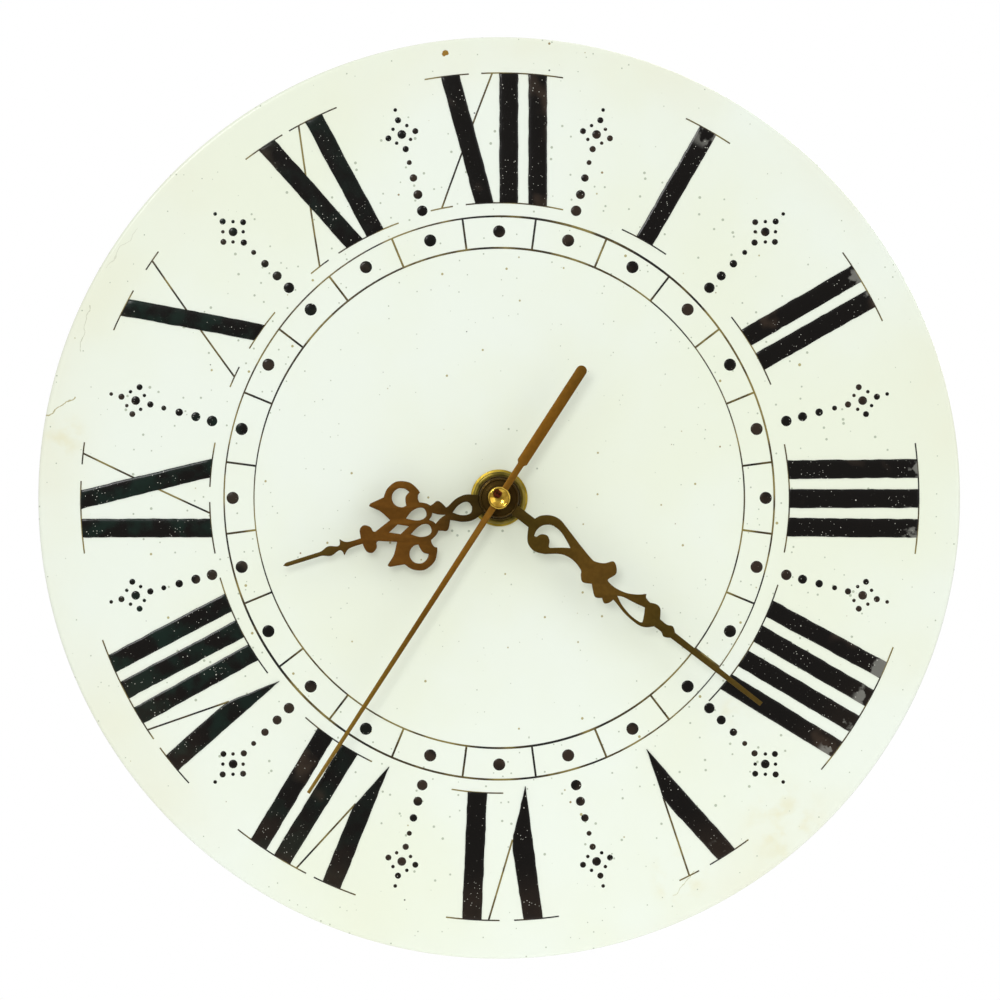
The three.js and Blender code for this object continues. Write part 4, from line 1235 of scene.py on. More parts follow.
NUMERALS = (
    NumeralShape(1, 72.0, 103.2, (Bar(-0.65, -0.65),)),
    NumeralShape(2, 71.8, 103.0, (Bar(-3.8, -3.7), Bar(3.2, 3.0))),
    NumeralShape(3, 70.8, 102.4, (Bar(-7.2, -6.9), Bar(0.15, 0.15), Bar(7.45, 7.1))),
    NumeralShape(4, 71.2, 102.8, (Bar(-10.5, -9.6, 4.3), Bar(-2.9, -2.9), Bar(4.4, 4.1), Bar(11.9, 11.1))),
    NumeralShape(5, 71.0, 103.2, vee=Vee(-4.6, 5.0, -0.5, 71.0, 2.1, 84.2, 5.9)),
    NumeralShape(6, 72.0, 103.1, (Bar(6.7, 5.3, 4.8),), vee=Vee(-8.3, 4.75, -6.4, 70.6, -3.0, 84.4, 2.6)),
    NumeralShape(
        7, 71.4, 103.0, (Bar(1.8, 0.9), Bar(8.6, 8.0)),
        vee=Vee(-11.8, 4.8, -9.5, 70.8, -6.7, 83.4, -2.3),
    ),
    NumeralShape(
        8, 70.8, 102.8, (Bar(-2.0, -2.6), Bar(5.1, 4.0), Bar(12.2, 11.0)),
        vee=Vee(-16.1, 4.8, -11.9, 69.8, -9.8, 83.5, -6.1),
    ),
    NumeralShape(9, 70.6, 102.1, (Bar(-7.35, -7.35),), ex=(Bar(-0.45, 7.3), Hair(10.9, -3.7))),
    NumeralShape(10, 71.0, 102.6, ex=(Bar(-5.4, 5.7), Hair(7.8, -6.7))),
    NumeralShape(11, 71.4, 103.2, (Bar(7.1, 6.1),), ex=(Bar(-6.1, 0.5), Hair(3.05, -9.7))),
    NumeralShape(
        12, 72.0, 103.7, (Bar(2.35, 2.35), Bar(9.4, 9.4)),
        ex=(Bar(-12.0, -3.55), Hair(-1.7, -14.0)),
    ),
)


@dataclass
class NumeralRing:
    """The twelve raised Roman numerals, with hairlines and serifs as thinner line work."""

    finishes: Finishes
    relief: Relief
    serif_reach: float = 3.9
    inner_reach: float = 2.3
    hair_reach: float = 2.7
    serif_gap: float = 0.6
    apex_half: float = 0.05
    hair_width: float = 0.44 * MM
    serif_width: float = 0.34 * MM
    hair_height: float = 0.08 * MM

    def build(self) -> None:
        """Makes each numeral as two pieces: its thick strokes, and its hairlines with its serifs."""
        for shape in NUMERALS:
            name = f"numeral_{shape.hour:02d}"
            make_piece(name, self.strokes(shape), self.finishes.glaze, Slot.BLACK_RESIN)
            lines = self.hairlines(shape) + self.serifs(shape)
            make_piece(f"{name}_lines", lines, self.finishes.sepia, Slot.BLACK_RESIN)

    def edge(self, shape: NumeralShape, outer: float, inner: float, rows: int = 8) -> np.ndarray:
        """A straight line from the outer to the inner circle.

        Args:
            shape: the numeral.
            outer: offset in mm at the outer circle.
            inner: offset in mm at the inner circle.
            rows: places along the line.

        Returns:
            rows x 2 places.
        """
        share = np.linspace(0, 1, rows)
        across = outer + (inner - outer) * share
        radius = shape.outer_radius + (shape.inner_radius - shape.outer_radius) * share
        return on_clock(math.radians(DEGREES_PER_HOUR * shape.hour), across * MM, radius * MM)

    def bar(self, shape: NumeralShape, bar: Bar) -> Surface:
        """A thick straight stroke.

        Args:
            shape: the numeral.
            bar: the stroke's offsets and width.

        Returns:
            A closed surface.
        """
        half = bar.width / 2
        left = self.edge(shape, bar.outer - half, bar.inner - half)
        right = self.edge(shape, bar.outer + half, bar.inner + half)
        # Each stroke's seed comes from its hour and its place, so that no two strokes wander alike.
        return self.relief.stroke(left, right, seed=shape.hour * 100 + int(bar.outer * 4 + 80))

    def vee(self, shape: NumeralShape) -> Surface:
        """The V's thick side: it runs between two lines that meet at the apex, the second bent at the joint.

        Args:
            shape: the numeral, which has a V.

        Returns:
            The thick side.
        """
        vee = shape.vee
        angle = math.radians(DEGREES_PER_HOUR * shape.hour)
        radius = np.linspace(shape.outer_radius, vee.apex_radius, 14)
        low, bend, high = vee.apex_radius, vee.joint_radius, shape.outer_radius
        half = vee.width / 2
        near = np.interp(radius, [low, high], [vee.apex - self.apex_half, vee.outer - half])
        far = np.interp(radius, [low, bend, high], [vee.apex + self.apex_half, vee.joint, vee.outer + half])
        left = on_clock(angle, near * MM, radius * MM)
        right = on_clock(angle, far * MM, radius * MM)
        return self.relief.stroke(left, right, seed=shape.hour)

    def strokes(self, shape: NumeralShape) -> list[Surface]:
        """The numeral's thick strokes.

        Args:
            shape: the numeral.

        Returns:
            One closed surface for each.
        """
        bars = shape.bars + ((shape.ex[0],) if shape.ex else ())
        made = [self.bar(shape, bar) for bar in bars]
        return made + ([self.vee(shape)] if shape.vee else [])

    def hairlines(self, shape: NumeralShape) -> list[Surface]:
        """The thin side of an X, from circle to circle, or of a V, from the outer circle into the joint.

        Args:
            shape: the numeral.

        Returns:
            One closed surface, or none.
        """
        rows, into_side, past_joint = 12, 0.25, 1.0
        if shape.ex:
            path = self.edge(shape, shape.ex[1].outer, shape.ex[1].inner, rows)
            return [self.relief.line(path, self.hair_width, self.hair_height)]
        if not shape.vee:
            return []
        across = np.linspace(shape.vee.hair, shape.vee.joint - into_side, rows)
        reach = np.linspace(shape.outer_radius, shape.vee.joint_radius - past_joint, rows)
        path = on_clock(math.radians(DEGREES_PER_HOUR * shape.hour), across * MM, reach * MM)
        return [self.relief.line(path, self.hair_width, self.hair_height)]

    def spans(self, shape: NumeralShape, outer: bool) -> list[tuple[float, float]]:
        """Where the serif line runs on the outer or the inner circle.

        Args:
            shape: the numeral.
            outer: the outer circle, or the inner one.

        Returns:
            Joined stretches of offsets in mm.
        """
        reach, short, thin = self.serif_reach, self.inner_reach, self.hair_reach
        spans = []
        for bar in shape.bars:
            middle = bar.outer if outer else bar.inner
            spans.append((middle - bar.width / 2 - reach, middle + bar.width / 2 + reach))
        if shape.ex:
            thick, hair = shape.ex
            half = thick.width / 2
            middle, crossing = (thick.outer, hair.outer) if outer else (thick.inner, hair.inner)
            before, after = (reach, short) if outer else (short, reach)
            spans.append((middle - half - before, middle + half + after))
            spans.append((crossing - thin, crossing + thin))
        if shape.vee and outer:
            half = shape.vee.width / 2
            spans.append((shape.vee.outer - half - reach, shape.vee.outer + half + short))
            spans.append((shape.vee.hair - thin, shape.vee.hair + thin))
        joined: list[tuple[float, float]] = []
        for low, high in sorted(spans):
            if joined and low < joined[-1][1] + self.serif_gap:
                joined[-1] = (joined[-1][0], max(high, joined[-1][1]))
            else:
                joined.append((low, high))
        return joined

    def serifs(self, shape: NumeralShape) -> list[Surface]:
        """Thin arcs along both circles over the numeral's stroke ends.

        Args:
            shape: the numeral.

        Returns:
            One closed surface for each arc.
        """
        made = []
        angle = math.radians(DEGREES_PER_HOUR * shape.hour)
        for outer, radius in ((True, shape.outer_radius), (False, shape.inner_radius)):
            for low, high in self.spans(shape, outer):
                across = np.linspace(low, high, 12)
                path = on_clock(angle, across * MM, radius * MM)
                made.append(self.relief.line(path, self.serif_width, self.hair_height))
        return made


@dataclass
class ChapterRing:
    """Two thin rings with 24 cells, a dot in each cell, and the dotted fleurettes between numerals.

    Both rings are a little taller than wide, by their stretch. Each drop of a sprig gives its offset
    from the sprig's ray, its distance from the dial's middle and its radius, in mm.
    """

    finishes: Finishes
    relief: Relief
    outer: float = 67.9 * MM
    inner: float = 60.4 * MM
    outer_stretch: float = 0.8 * MM
    inner_stretch: float = 0.6 * MM
    outer_width: float = 0.46 * MM
    inner_width: float = 0.42 * MM
    cells: int = 24
    cell_width: float = 0.5 * MM
    dot_circle: float = 65.0 * MM
    dot_radius: float = 1.5 * MM
    line_height: float = 0.08 * MM
    sprig: tuple[tuple[float, float, float], ...] = (
        (0, 72.5, 1.3), (0, 76.6, 1.12), (0, 80.8, 0.93), (0, 84.7, 0.62), (0, 88.1, 0.78),
        (0, 91.8, 1.08), (-3.4, 91.8, 0.74), (3.4, 91.8, 0.74), (0, 95.4, 0.76), (0, 98.0, 0.46),
        (-1.75, 90.1, 0.44), (1.75, 90.1, 0.44), (-1.75, 93.6, 0.44), (1.75, 93.6, 0.44),
    )

    def circle(self, radius: float, stretch: float, width: float, phase: float) -> Surface:
        """A ring at r + s cos(2a), whose width swells twice and ripples five times round.

        Args:
            radius: r.
            stretch: s.
            width: middle width of the line.
            phase: where the swelling starts, in radians.

        Returns:
            A closed surface.
        """
        angle = np.linspace(0, TURN, 240, endpoint=False)
        reach = radius + stretch * np.cos(2 * angle)
        path = np.stack([reach * np.sin(angle), reach * np.cos(angle)], axis=1)
        swell = width * (1 + 0.25 * np.sin(2 * angle + phase) + 0.12 * np.sin(5 * angle))
        return self.relief.loop(path, swell, self.line_height)

    def build(self) -> None:
        """Makes the rings, the cell lines, the cell dots and the fleurettes."""
        lines = [
            self.circle(self.outer, self.outer_stretch, self.outer_width, phase=0.4),
            self.circle(self.inner, self.inner_stretch, self.inner_width, phase=2.0),
        ]
        for cell in range(self.cells):
            angle = TURN * (cell + 0.5) / self.cells
            taller = math.cos(2 * angle)
            near = self.inner + self.inner_stretch * taller
            far = self.outer + self.outer_stretch * taller
            reach = np.linspace(near, far, 5)
            path = np.stack([reach * math.sin(angle), reach * math.cos(angle)], axis=1)
            lines.append(self.relief.line(path, self.cell_width, self.line_height))
        make_piece("chapter_ring", lines, self.finishes.sepia, Slot.BLACK_RESIN)
        angle = np.arange(self.cells) * TURN / self.cells
        centres = self.dot_circle * np.stack([np.sin(angle), np.cos(angle)], axis=1)
        dots = self.relief.dots(centres, np.full(self.cells, self.dot_radius))
        make_piece("chapter_dots", dots, self.finishes.drop_glaze, Slot.BLACK_RESIN)
        sprig = np.array(self.sprig) * MM
        halfway = [math.radians(DEGREES_PER_HOUR * (hour + 0.5)) for hour in range(12)]
        centres = np.vstack([on_clock(angle, sprig[:, 0], sprig[:, 1]) for angle in halfway])
        drops = self.relief.dots(centres, np.tile(sprig[:, 2], len(halfway)))
        make_piece("fleurette_dots", drops, self.finishes.drop_glaze, Slot.BLACK_RESIN)


# ---- hands -------------------------------------------------------------------------------------


def outline_loops(node: str) -> list[np.ndarray]:
    """The closed outlines of a packed sheet's front face: those edges that only one front triangle has.

    Args:
        node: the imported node, a flat sheet at right angles to Y.

    Returns:
        n x 2 arrays of x and z, in order along each outline.
    """
    mesh = frame["nodes"][node].data
    points = np.zeros(len(mesh.vertices) * 3)
    mesh.vertices.foreach_get("co", points)
    points = points.reshape(-1, 3)
    mesh.calc_loop_triangles()
    corners = np.zeros(len(mesh.loop_triangles) * 3, dtype=np.int64)
    mesh.loop_triangles.foreach_get("vertices", corners)
    rounded = np.round(points * (1 / SAME_POINT))
    _, first, merged = np.unique(rounded, axis=0, return_index=True, return_inverse=True)
    triangles = merged.reshape(-1)[corners].reshape(-1, 3)
    points = points[first]
    front = (points[triangles, 1] < points[:, 1].min() + PACKED_SAME_POINT).all(axis=1)
    edges = np.vstack([triangles[front][:, pair] for pair in ([0, 1], [1, 2], [2, 0])])
    known = {(int(start), int(end)) for start, end in edges}
    following = {start: end for start, end in known if (end, start) not in known}
    loops = []
    while following:
        start, ahead = following.popitem()
        walk = [start]
        while ahead != start:
            walk.append(ahead)
            ahead = following.pop(ahead)
        loops.append(points[walk][:, [0, 2]])
    return loops


def smoothed(loop: np.ndarray, steps: int, corner: float) -> np.ndarray:
    """Rounds a faceted outline with a Catmull-Rom curve, and keeps its sharp corners.

    Args:
        loop: n x 2 outline.
        steps: new points for each old one.
        corner: bends of more than this many degrees stay corners.

    Returns:
        The finer outline.
    """
    before, after = np.roll(loop, 1, axis=0), np.roll(loop, -1, axis=0)
    run_in, run_out = loop - before, after - loop
    turn = np.abs(np.arctan2(np.cross(run_in, run_out), (run_in * run_out).sum(axis=1)))
    reach = np.minimum(np.linalg.norm(run_in, axis=1), np.linalg.norm(run_out, axis=1))
    heading = after - before
    heading *= (reach / np.maximum(np.linalg.norm(heading, axis=1), LEAST_LENGTH))[:, None]
    sharp = turn > math.radians(corner)
    leave = np.where(sharp[:, None], run_out, heading)
    arrive = np.where(sharp[:, None], run_in, heading)
    share = (np.arange(steps) / steps)[None, :, None]
    start, end = loop[:, None], after[:, None]
    out, come = leave[:, None], np.roll(arrive, -1, axis=0)[:, None]
    curve = (
        (2 * share**3 - 3 * share**2 + 1) * start + (share**3 - 2 * share**2 + share) * out
        + (3 * share**2 - 2 * share**3) * end + (share**3 - share**2) * come
    )
    return curve.reshape(-1, 2)


@dataclass
class SheetHand:
    """A hand cut from sheet metal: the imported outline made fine, with its front edge rounded over."""

    node: str
    body: str
    material: bpy.types.Material
    slot: Slot
    rounding: float = 0.14 * MM
    steps: int = 3
    corner: float = 34.0

    def build(self) -> None:
        """Carries a quarter-round edge profile along each outline, and fills the front and the back."""
        low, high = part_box(self.node)
        loops = [smoothed(loop, self.steps, self.corner) for loop in outline_loops(self.node)]
        angle = np.linspace(0, np.pi / 2, 5)
        inward = np.concatenate([[0.0], self.rounding * (1 - np.cos(angle))])
        height = np.concatenate([[high.y], low.y + self.rounding * (1 - np.sin(angle))])
        walls, fronts, backs = [], [], []
        for loop in loops:
            ahead = np.roll(loop, -1, axis=0) - np.roll(loop, 1, axis=0)
            side = np.stack([-ahead[:, 1], ahead[:, 0]], axis=1)
            side /= np.maximum(np.linalg.norm(side, axis=1, keepdims=True), LEAST_LENGTH)
            flat = loop[None] + side[None] * inward[:, None, None] * self.facing(loops, loop)
            rows = np.repeat(height[:, None], len(loop), axis=1)
            points = np.stack([flat[..., 0], rows, flat[..., 1]], axis=-1)
            walls.append(Surface.grid(points, wrap_columns=True))
            fronts.append(points[-1])
            backs.append(points[0])
        caps = [self.cap(fronts), self.cap(backs)]
        make_piece(f"{self.node}_sheet", walls + caps, self.material, self.slot, self.body, (self.node,))

    @staticmethod
    def facing(loops: list[np.ndarray], loop: np.ndarray) -> float:
        """Which way a sideways step goes into the metal: an outline and a hole wind opposite ways.

        Args:
            loops: all outlines of the hand.
            loop: the one in question.

        Returns:
            1 or -1.
        """
        area = [float(np.cross(one, np.roll(one, -1, axis=0)).sum()) for one in loops]
        own = float(np.cross(loop, np.roll(loop, -1, axis=0)).sum())
        outer = max(area, key=abs)
        same = own * outer > 0
        winding = 1.0 if own > 0 else -1.0
        return winding if same else -winding

    @staticmethod
    def cap(rims: list[np.ndarray]) -> Surface:
        """Fills the flat between an outline and its holes with triangles.

        Args:
            rims: n x 3 points of each outline.

        Returns:
            The filled flat.
        """
        flat = [[Vector((point[0], point[2], 0.0)) for point in rim] for rim in rims]
        return Surface(np.vstack(rims), [list(face) for face in tessellate_polygon(flat)])


@dataclass
class CentreFittings:
    """What is turned round the arbors: bush, gasket, washer, nut, collets, lips, boss and seconds hub.

    Bores, radii and edges are in mm, and profiles are pairs of radius in mm and y in metres.
    """

    finishes: Finishes
    columns: int = 128
    bush_bore: float = 2.8
    nut_bore: float = 4.3
    hour_bore: float = 2.8
    minute_bore: float = 1.9
    hour_lip: float = 5.1
    minute_lip: float = 4.62
    lip: bpy.types.Material = field(init=False)

    def turn(self, name: str, profile: list[tuple[float, float]], slot: Slot, **place: object) -> None:
        """Turns a profile into a piece.

        Args:
            name: the piece's name.
            profile: radius and y of each corner.
            slot: the record's slot.
            place: body, replaced nodes and, where it isn't the slot's own, the material.
        """
        points = np.array(profile) * np.array([MM, 1.0])
        material = place.pop("material", self.finishes.of(slot))
        make_piece(name, [turned(points, self.columns)], material, slot, crease=TURNED_CREASE, **place)

    def build(self) -> None:
        """Makes the washer, nut, boss, hub and bush, the lips of both hands, and the three collars."""
        self.washer()
        self.nut()
        self.minute_boss()
        self.hub()
        self.bush()
        self.lip = TurnedMetal("lip_bronze", (84, 66, 34), (60, 44, 20), roughness=0.14).material()
        hour_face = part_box("hour_hand")[0].y
        minute_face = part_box("minute_hand")[0].y - 0.1 * MM
        self.dark_lip("hour_lip", hour_face, self.hour_lip, "hour_hand_set", Slot.HOUR_BRONZE)
        self.dark_lip("minute_lip", minute_face, self.minute_lip, "minute_hand_set", Slot.MINUTE_BRONZE)
        self.collar("hour_hand_collet", self.hour_bore, 0.15, Slot.BRASS, "hour_hand_set")
        self.collar("minute_hand_collet", self.minute_bore, 0.12, Slot.BRASS, "minute_hand_set")
        self.collar("rubber_gasket", self.nut_bore, 0.3, Slot.RUBBER, ROOT_BODY)

    def collar(self, node: str, bore: float, edge: float, slot: Slot, body: str) -> None:
        """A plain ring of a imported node's size, with both outer edges chamfered.

        Args:
            node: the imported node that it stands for.
            bore: inner radius in mm.
            edge: size of the chamfer in mm.
            slot: the finish.
            body: the body that it moves with.
        """
        low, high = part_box(node)
        out, step = (high.z - low.z) / 2 / MM, edge * MM
        profile = [
            (bore, low.y), (out - edge, low.y), (out, low.y + step),
            (out, high.y - step), (out - edge, high.y), (bore, high.y),
        ]
        self.turn(f"{node}_turned", profile, slot, body=body, replaces=(node,))

    def dark_lip(self, name: str, face: float, radius: float, body: str, slot: Slot) -> None:
        """A thin dark bead on a hand's boss: a half circle in section, turned about the axis.

        Args:
            name: the piece's name.
            face: y of the face it stands on.
            radius: radius of the bead's circle in mm.
            body: the body that it moves with.
            slot: the record's slot.
        """
        half, rise, sink = 0.09, 0.1 * MM, 0.03 * MM
        bend = np.linspace(0, np.pi, 8)
        bead = [(radius - half * math.cos(a), face - rise * math.sin(a)) for a in bend]
        profile = [(radius - half, face + sink), *bead, (radius + half, face + sink)]
        self.turn(name, profile, slot, body=body, material=self.lip)

    def bush(self, pitch: float = 0.75 * MM, depth: float = 0.22 * MM, lead: float = 0.35 * MM) -> None:
        """The threaded bush: its outer radius falls by the depth as a cosine of angle plus turns of length.

        Args:
            pitch: distance from thread to thread.
            depth: thread depth.
            lead: length at each end over which the thread runs out.
        """
        low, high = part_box("threaded_bush")
        angle = np.linspace(0, TURN, self.columns, endpoint=False)
        rows = np.linspace(low.y, high.y, 110)[:, None]
        wave = (1 - np.cos(angle[None] + TURN * rows / pitch)) / 2
        taper = np.clip(1 - np.minimum(rows - low.y, high.y - rows) / lead, 0, 1) * depth
        bore = np.full_like(angle, self.bush_bore * MM)
        radius = np.vstack([bore, high.x - np.maximum(wave * depth, taper), bore])
        rows = np.concatenate([[low.y], rows[:, 0], [high.y]])
        height = np.repeat(rows[:, None], len(angle), axis=1)
        points = np.stack([radius * np.sin(angle), height, radius * np.cos(angle)], axis=-1)
        surface = Surface.grid(points, wrap_rows=True, wrap_columns=True)
        brass, replaces = self.finishes.of(Slot.BRASS), ("threaded_bush",)
        make_piece("bush_threaded", [surface], brass, Slot.BRASS, ROOT_BODY, replaces, TURNED_CREASE)

    def washer(self) -> None:
        """Thin brass washer with both outer edges rolled over."""
        low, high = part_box("brass_washer")
        out, edge = high.x / MM, 0.14
        bend = np.linspace(0, np.pi, 9)
        middle, half = (low.y + high.y) / 2, (high.y - low.y) / 2
        rim = [(out - edge + edge * math.sin(a), middle - half * math.cos(a)) for a in bend]
        profile = [(self.nut_bore, low.y), *rim, (self.nut_bore, high.y)]
        self.turn("washer_rolled", profile, Slot.BRASS, replaces=("brass_washer",))

    def nut(self) -> None:
        """Round nut: a chamfered ring with a shallow groove turned near its edge."""
        low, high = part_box("mounting_nut")
        bore, out, face = self.nut_bore, high.x / MM, low.y
        groove_floor = face + 0.1 * MM
        profile = [
            (bore, face + 0.3 * MM), (4.6, face + 0.02 * MM), (4.75, face), (5.45, face),
            (5.52, groove_floor), (5.6, groove_floor), (5.68, face), (out - 0.36, face),
            (out - 0.12, face + 0.1 * MM), (out, face + 0.36 * MM), (out, high.y - 0.3 * MM),
            (out - 0.3, high.y), (bore, high.y),
        ]
        # The darker aged brass is partly painted shade: the nut's face lies under the hands and shows darker
        # than the washer round it.
        self.turn("nut_turned", profile, Slot.AGED_BRASS, replaces=("mounting_nut",))

    def minute_boss(self) -> None:
        """Dark burnished eyelet that rivets the minute hand to its collet, with a bead near its edge."""
        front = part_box("minute_hand")[0].y
        bead_radius, bead_half, bead_rise = 4.42, 0.2, 0.14
        foot = front - 0.12 * MM
        bend = np.linspace(0, np.pi, 9)
        bead = [(bead_radius - bead_half * math.cos(a), foot - bead_rise * math.sin(a) * MM) for a in bend]
        profile = [
            (1.95, front - 0.02 * MM), (1.95, front - 0.2 * MM), (2.3, front - 0.3 * MM),
            (3.4, front - 0.2 * MM), (4.0, foot), *bead,
            (4.78, front - 0.1 * MM), (4.82, front + 0.02 * MM),
        ]
        dark = TurnedMetal("burnt_bronze", (78, 60, 26), (56, 40, 16), roughness=0.26).material()
        self.turn("minute_boss", profile, Slot.MINUTE_BRONZE, body="minute_hand_set", material=dark)

    def hub(self) -> None:
        """Polished cap of the seconds hand: a rolled rim round a shallow dish, on its own collet."""
        low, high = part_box("second_hand_hub")
        front, back, rim = low.y, high.y, high.x / MM
        under, bore_end = front + 1.3 * MM, front + 0.8 * MM
        sleeve, bore = 1.2, 0.8
        dish = [
            (0.0, front + 0.62 * MM), (0.6, front + 0.6 * MM), (1.2, front + 0.48 * MM),
            (1.7, front + 0.28 * MM), (2.1, front + 0.08 * MM), (2.3, front),
        ]
        rolled = [
            (2.5, front + 0.04 * MM), (rim - 0.06, front + 0.2 * MM), (rim, front + 0.45 * MM),
            (rim, front + 1.2 * MM), (rim - 0.12, under),
        ]
        collet = [(sleeve, under), (sleeve, back), (bore, back), (bore, bore_end), (0.0, bore_end)]
        points = np.array(dish + rolled + collet) * np.array([MM, 1.0])
        surface = turned(points, self.columns, closed=False)
        make_piece(
            "hub_dished",
            [surface],
            self.finishes.of(Slot.POLISHED_BRASS),
            Slot.POLISHED_BRASS,
            "second_hand_set",
            ("second_hand_hub",),
            TURNED_CREASE,
        )


# ---- movement ----------------------------------------------------------------------------------


@dataclass
class Movement:
    """The plastic movement block behind the dial, its hanger, its setting knob and its battery.

    The panel's halves and drop, the places of the round marks and the reach of the ribs are shares of
    half the block's side, and the other sizes are in metres.
    """

    finishes: Finishes
    cell_columns: int = 96
    case_edge: float = 0.3 * MM
    plate_edge: float = 0.12 * MM
    knob_edge: float = 0.1 * MM
    mark_height: float = 0.16 * MM
    line_width: float = 0.5 * MM
    well_radius: float = 6.1 * MM
    well_width: float = 0.8 * MM
    arrow_radius: float = 8.2 * MM
    arrow_degrees: tuple[float, float] = (50.0, 130.0)
    barb_ahead: float = 0.3 * MM
    barb_back: float = 1.4 * MM
    barb_aside: float = 1.1 * MM
    sign_half: float = 1.3 * MM
    sign_width: float = 0.55 * MM
    sign_above_cell: float = 3.1 * MM
    sign_from_end: float = 3.2 * MM
    panel_width: float = 0.45 * MM
    panel_half: tuple[float, float] = (0.62, 0.27)
    panel_power: float = 0.18
    panel_below_top: float = 0.52
    round_mark: float = 1.3 * MM
    round_aside: float = 0.86
    round_below_top: tuple[float, float] = (0.14, 0.9)
    ribs: int = 9
    rib_reach: float = 0.36
    rib_width: float = 0.7 * MM
    rib_below_top: tuple[float, float] = (2.0 * MM, 4.6 * MM)

    def build(self) -> None:
        """Rounds the case, hanger, rear cover and knob, adds the cover's marks, and turns the battery."""
        for node, edge, slot in (
            ("front_case", self.case_edge, Slot.BLACK_PLASTIC),
            ("hanger_plate", self.plate_edge, Slot.ZINC_STEEL),
        ):
            softened(node, edge, self.finishes.of(slot))
        self.rear_cover()
        self.setting_knob()
        self.battery()

    def rear_cover(self) -> None:
        """The rear cover, its back face let in by the height of the marks that are moulded on it."""
        material = self.finishes.of(Slot.BLACK_PLASTIC)
        cover = softened("rear_cover", self.case_edge, material)
        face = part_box("rear_cover")[1].y - self.mark_height
        for vertex in cover.data.vertices:
            vertex.co.y = min(vertex.co.y, face)
        relief = Relief(FlatFace(face), height=self.mark_height, rounding=0.2 * MM)
        surfaces = [*self.knob_marks(relief), *self.bay_marks(relief), *self.frame_marks(relief)]
        make_piece("rear_cover_marks", surfaces, material, Slot.BLACK_PLASTIC, crease=MARK_CREASE)

    def ring(self, relief: Relief, centre: tuple[float, float], radius: float, width: float) -> Surface:
        """A raised ring.

        Args:
            relief: makes the stroke.
            centre: x and z of its middle.
            radius: its radius.
            width: width of the stroke.

        Returns:
            The closed surface.
        """
        angle = np.linspace(0, TURN, 72, endpoint=False)
        path = np.array(centre) + radius * np.stack([np.cos(angle), np.sin(angle)], axis=1)
        return relief.loop(path, np.full(len(path), width), self.mark_height)

    def knob_marks(self, relief: Relief) -> list[Surface]:
        """A ring round the knob's well, and an arc with an arrow head at each end above it.

        Args:
            relief: makes the strokes.

        Returns:
            The closed surfaces.
        """
        low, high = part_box("setting_knob")
        centre = np.array([(low.x + high.x) / 2, (low.z + high.z) / 2])
        surfaces = [self.ring(relief, tuple(centre), self.well_radius, self.well_width)]
        angle = np.linspace(*np.radians(self.arrow_degrees), 20)
        arc = centre + self.arrow_radius * np.stack([np.cos(angle), np.sin(angle)], axis=1)
        surfaces.append(relief.line(arc, self.line_width, self.mark_height))
        for end, before in ((arc[0], arc[3]), (arc[-1], arc[-4])):
            ahead = (end - before) / np.linalg.norm(end - before)
            side = np.array([-ahead[1], ahead[0]])
            tip = end + self.barb_ahead * ahead
            for sign in (-1, 1):
                tail = end - self.barb_back * ahead + sign * self.barb_aside * side
                surfaces.append(relief.line(np.linspace(tip, tail, 4), self.line_width, self.mark_height))
        return surfaces

    def bay_marks(self, relief: Relief) -> list[Surface]:
        """A plus and a minus above the ends of the battery bay.

        Args:
            relief: makes the strokes.

        Returns:
            The closed surfaces.
        """
        _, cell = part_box("battery_cell")
        x, z, half = cell.x - self.sign_from_end, cell.z + self.sign_above_cell, self.sign_half
        paths = [
            np.linspace((x - half, z), (x + half, z), 4),
            np.linspace((-x - half, z), (-x + half, z), 4),
            np.linspace((x, z - half), (x, z + half), 4),
        ]
        return [relief.line(path, self.sign_width, self.mark_height) for path in paths]

    def frame_marks(self, relief: Relief) -> list[Surface]:
        """A raised panel frame with rounded corners, four round marks and a row of ribs under the hanger.

        Args:
            relief: makes the strokes.

        Returns:
            The closed surfaces.
        """
        low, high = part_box("rear_cover")
        side = (high.x - low.x) / 2
        turn = np.linspace(0, TURN, 96, endpoint=False)
        around = np.stack([np.cos(turn), np.sin(turn)], axis=1)
        square = np.sign(around) * np.abs(around) ** self.panel_power
        middle = np.array([0.0, high.z - side * self.panel_below_top])
        path = middle + square * side * np.array(self.panel_half)
        surfaces = [relief.loop(path, np.full(len(path), self.panel_width), self.mark_height)]
        aside, below = side * self.round_aside, self.round_below_top
        rounds = np.array([(sign * aside, high.z - side * share) for sign in (-1, 1) for share in below])
        surfaces += relief.dots(rounds, np.full(len(rounds), self.round_mark), self.mark_height)
        top, foot = high.z - self.rib_below_top[0], high.z - self.rib_below_top[1]
        for x in np.linspace(-side * self.rib_reach, side * self.rib_reach, self.ribs):
            rib = np.linspace((x, top), (x, foot), 5)
            surfaces.append(relief.line(rib, self.rib_width, self.mark_height))
        return surfaces

    def setting_knob(self) -> None:
        """The knob that sets the hands, in a plastic a little paler than the cover."""
        pale = Moulded("knob_plastic", (74, 76, 79), roughness=0.42).material()
        softened("setting_knob", self.knob_edge, pale)

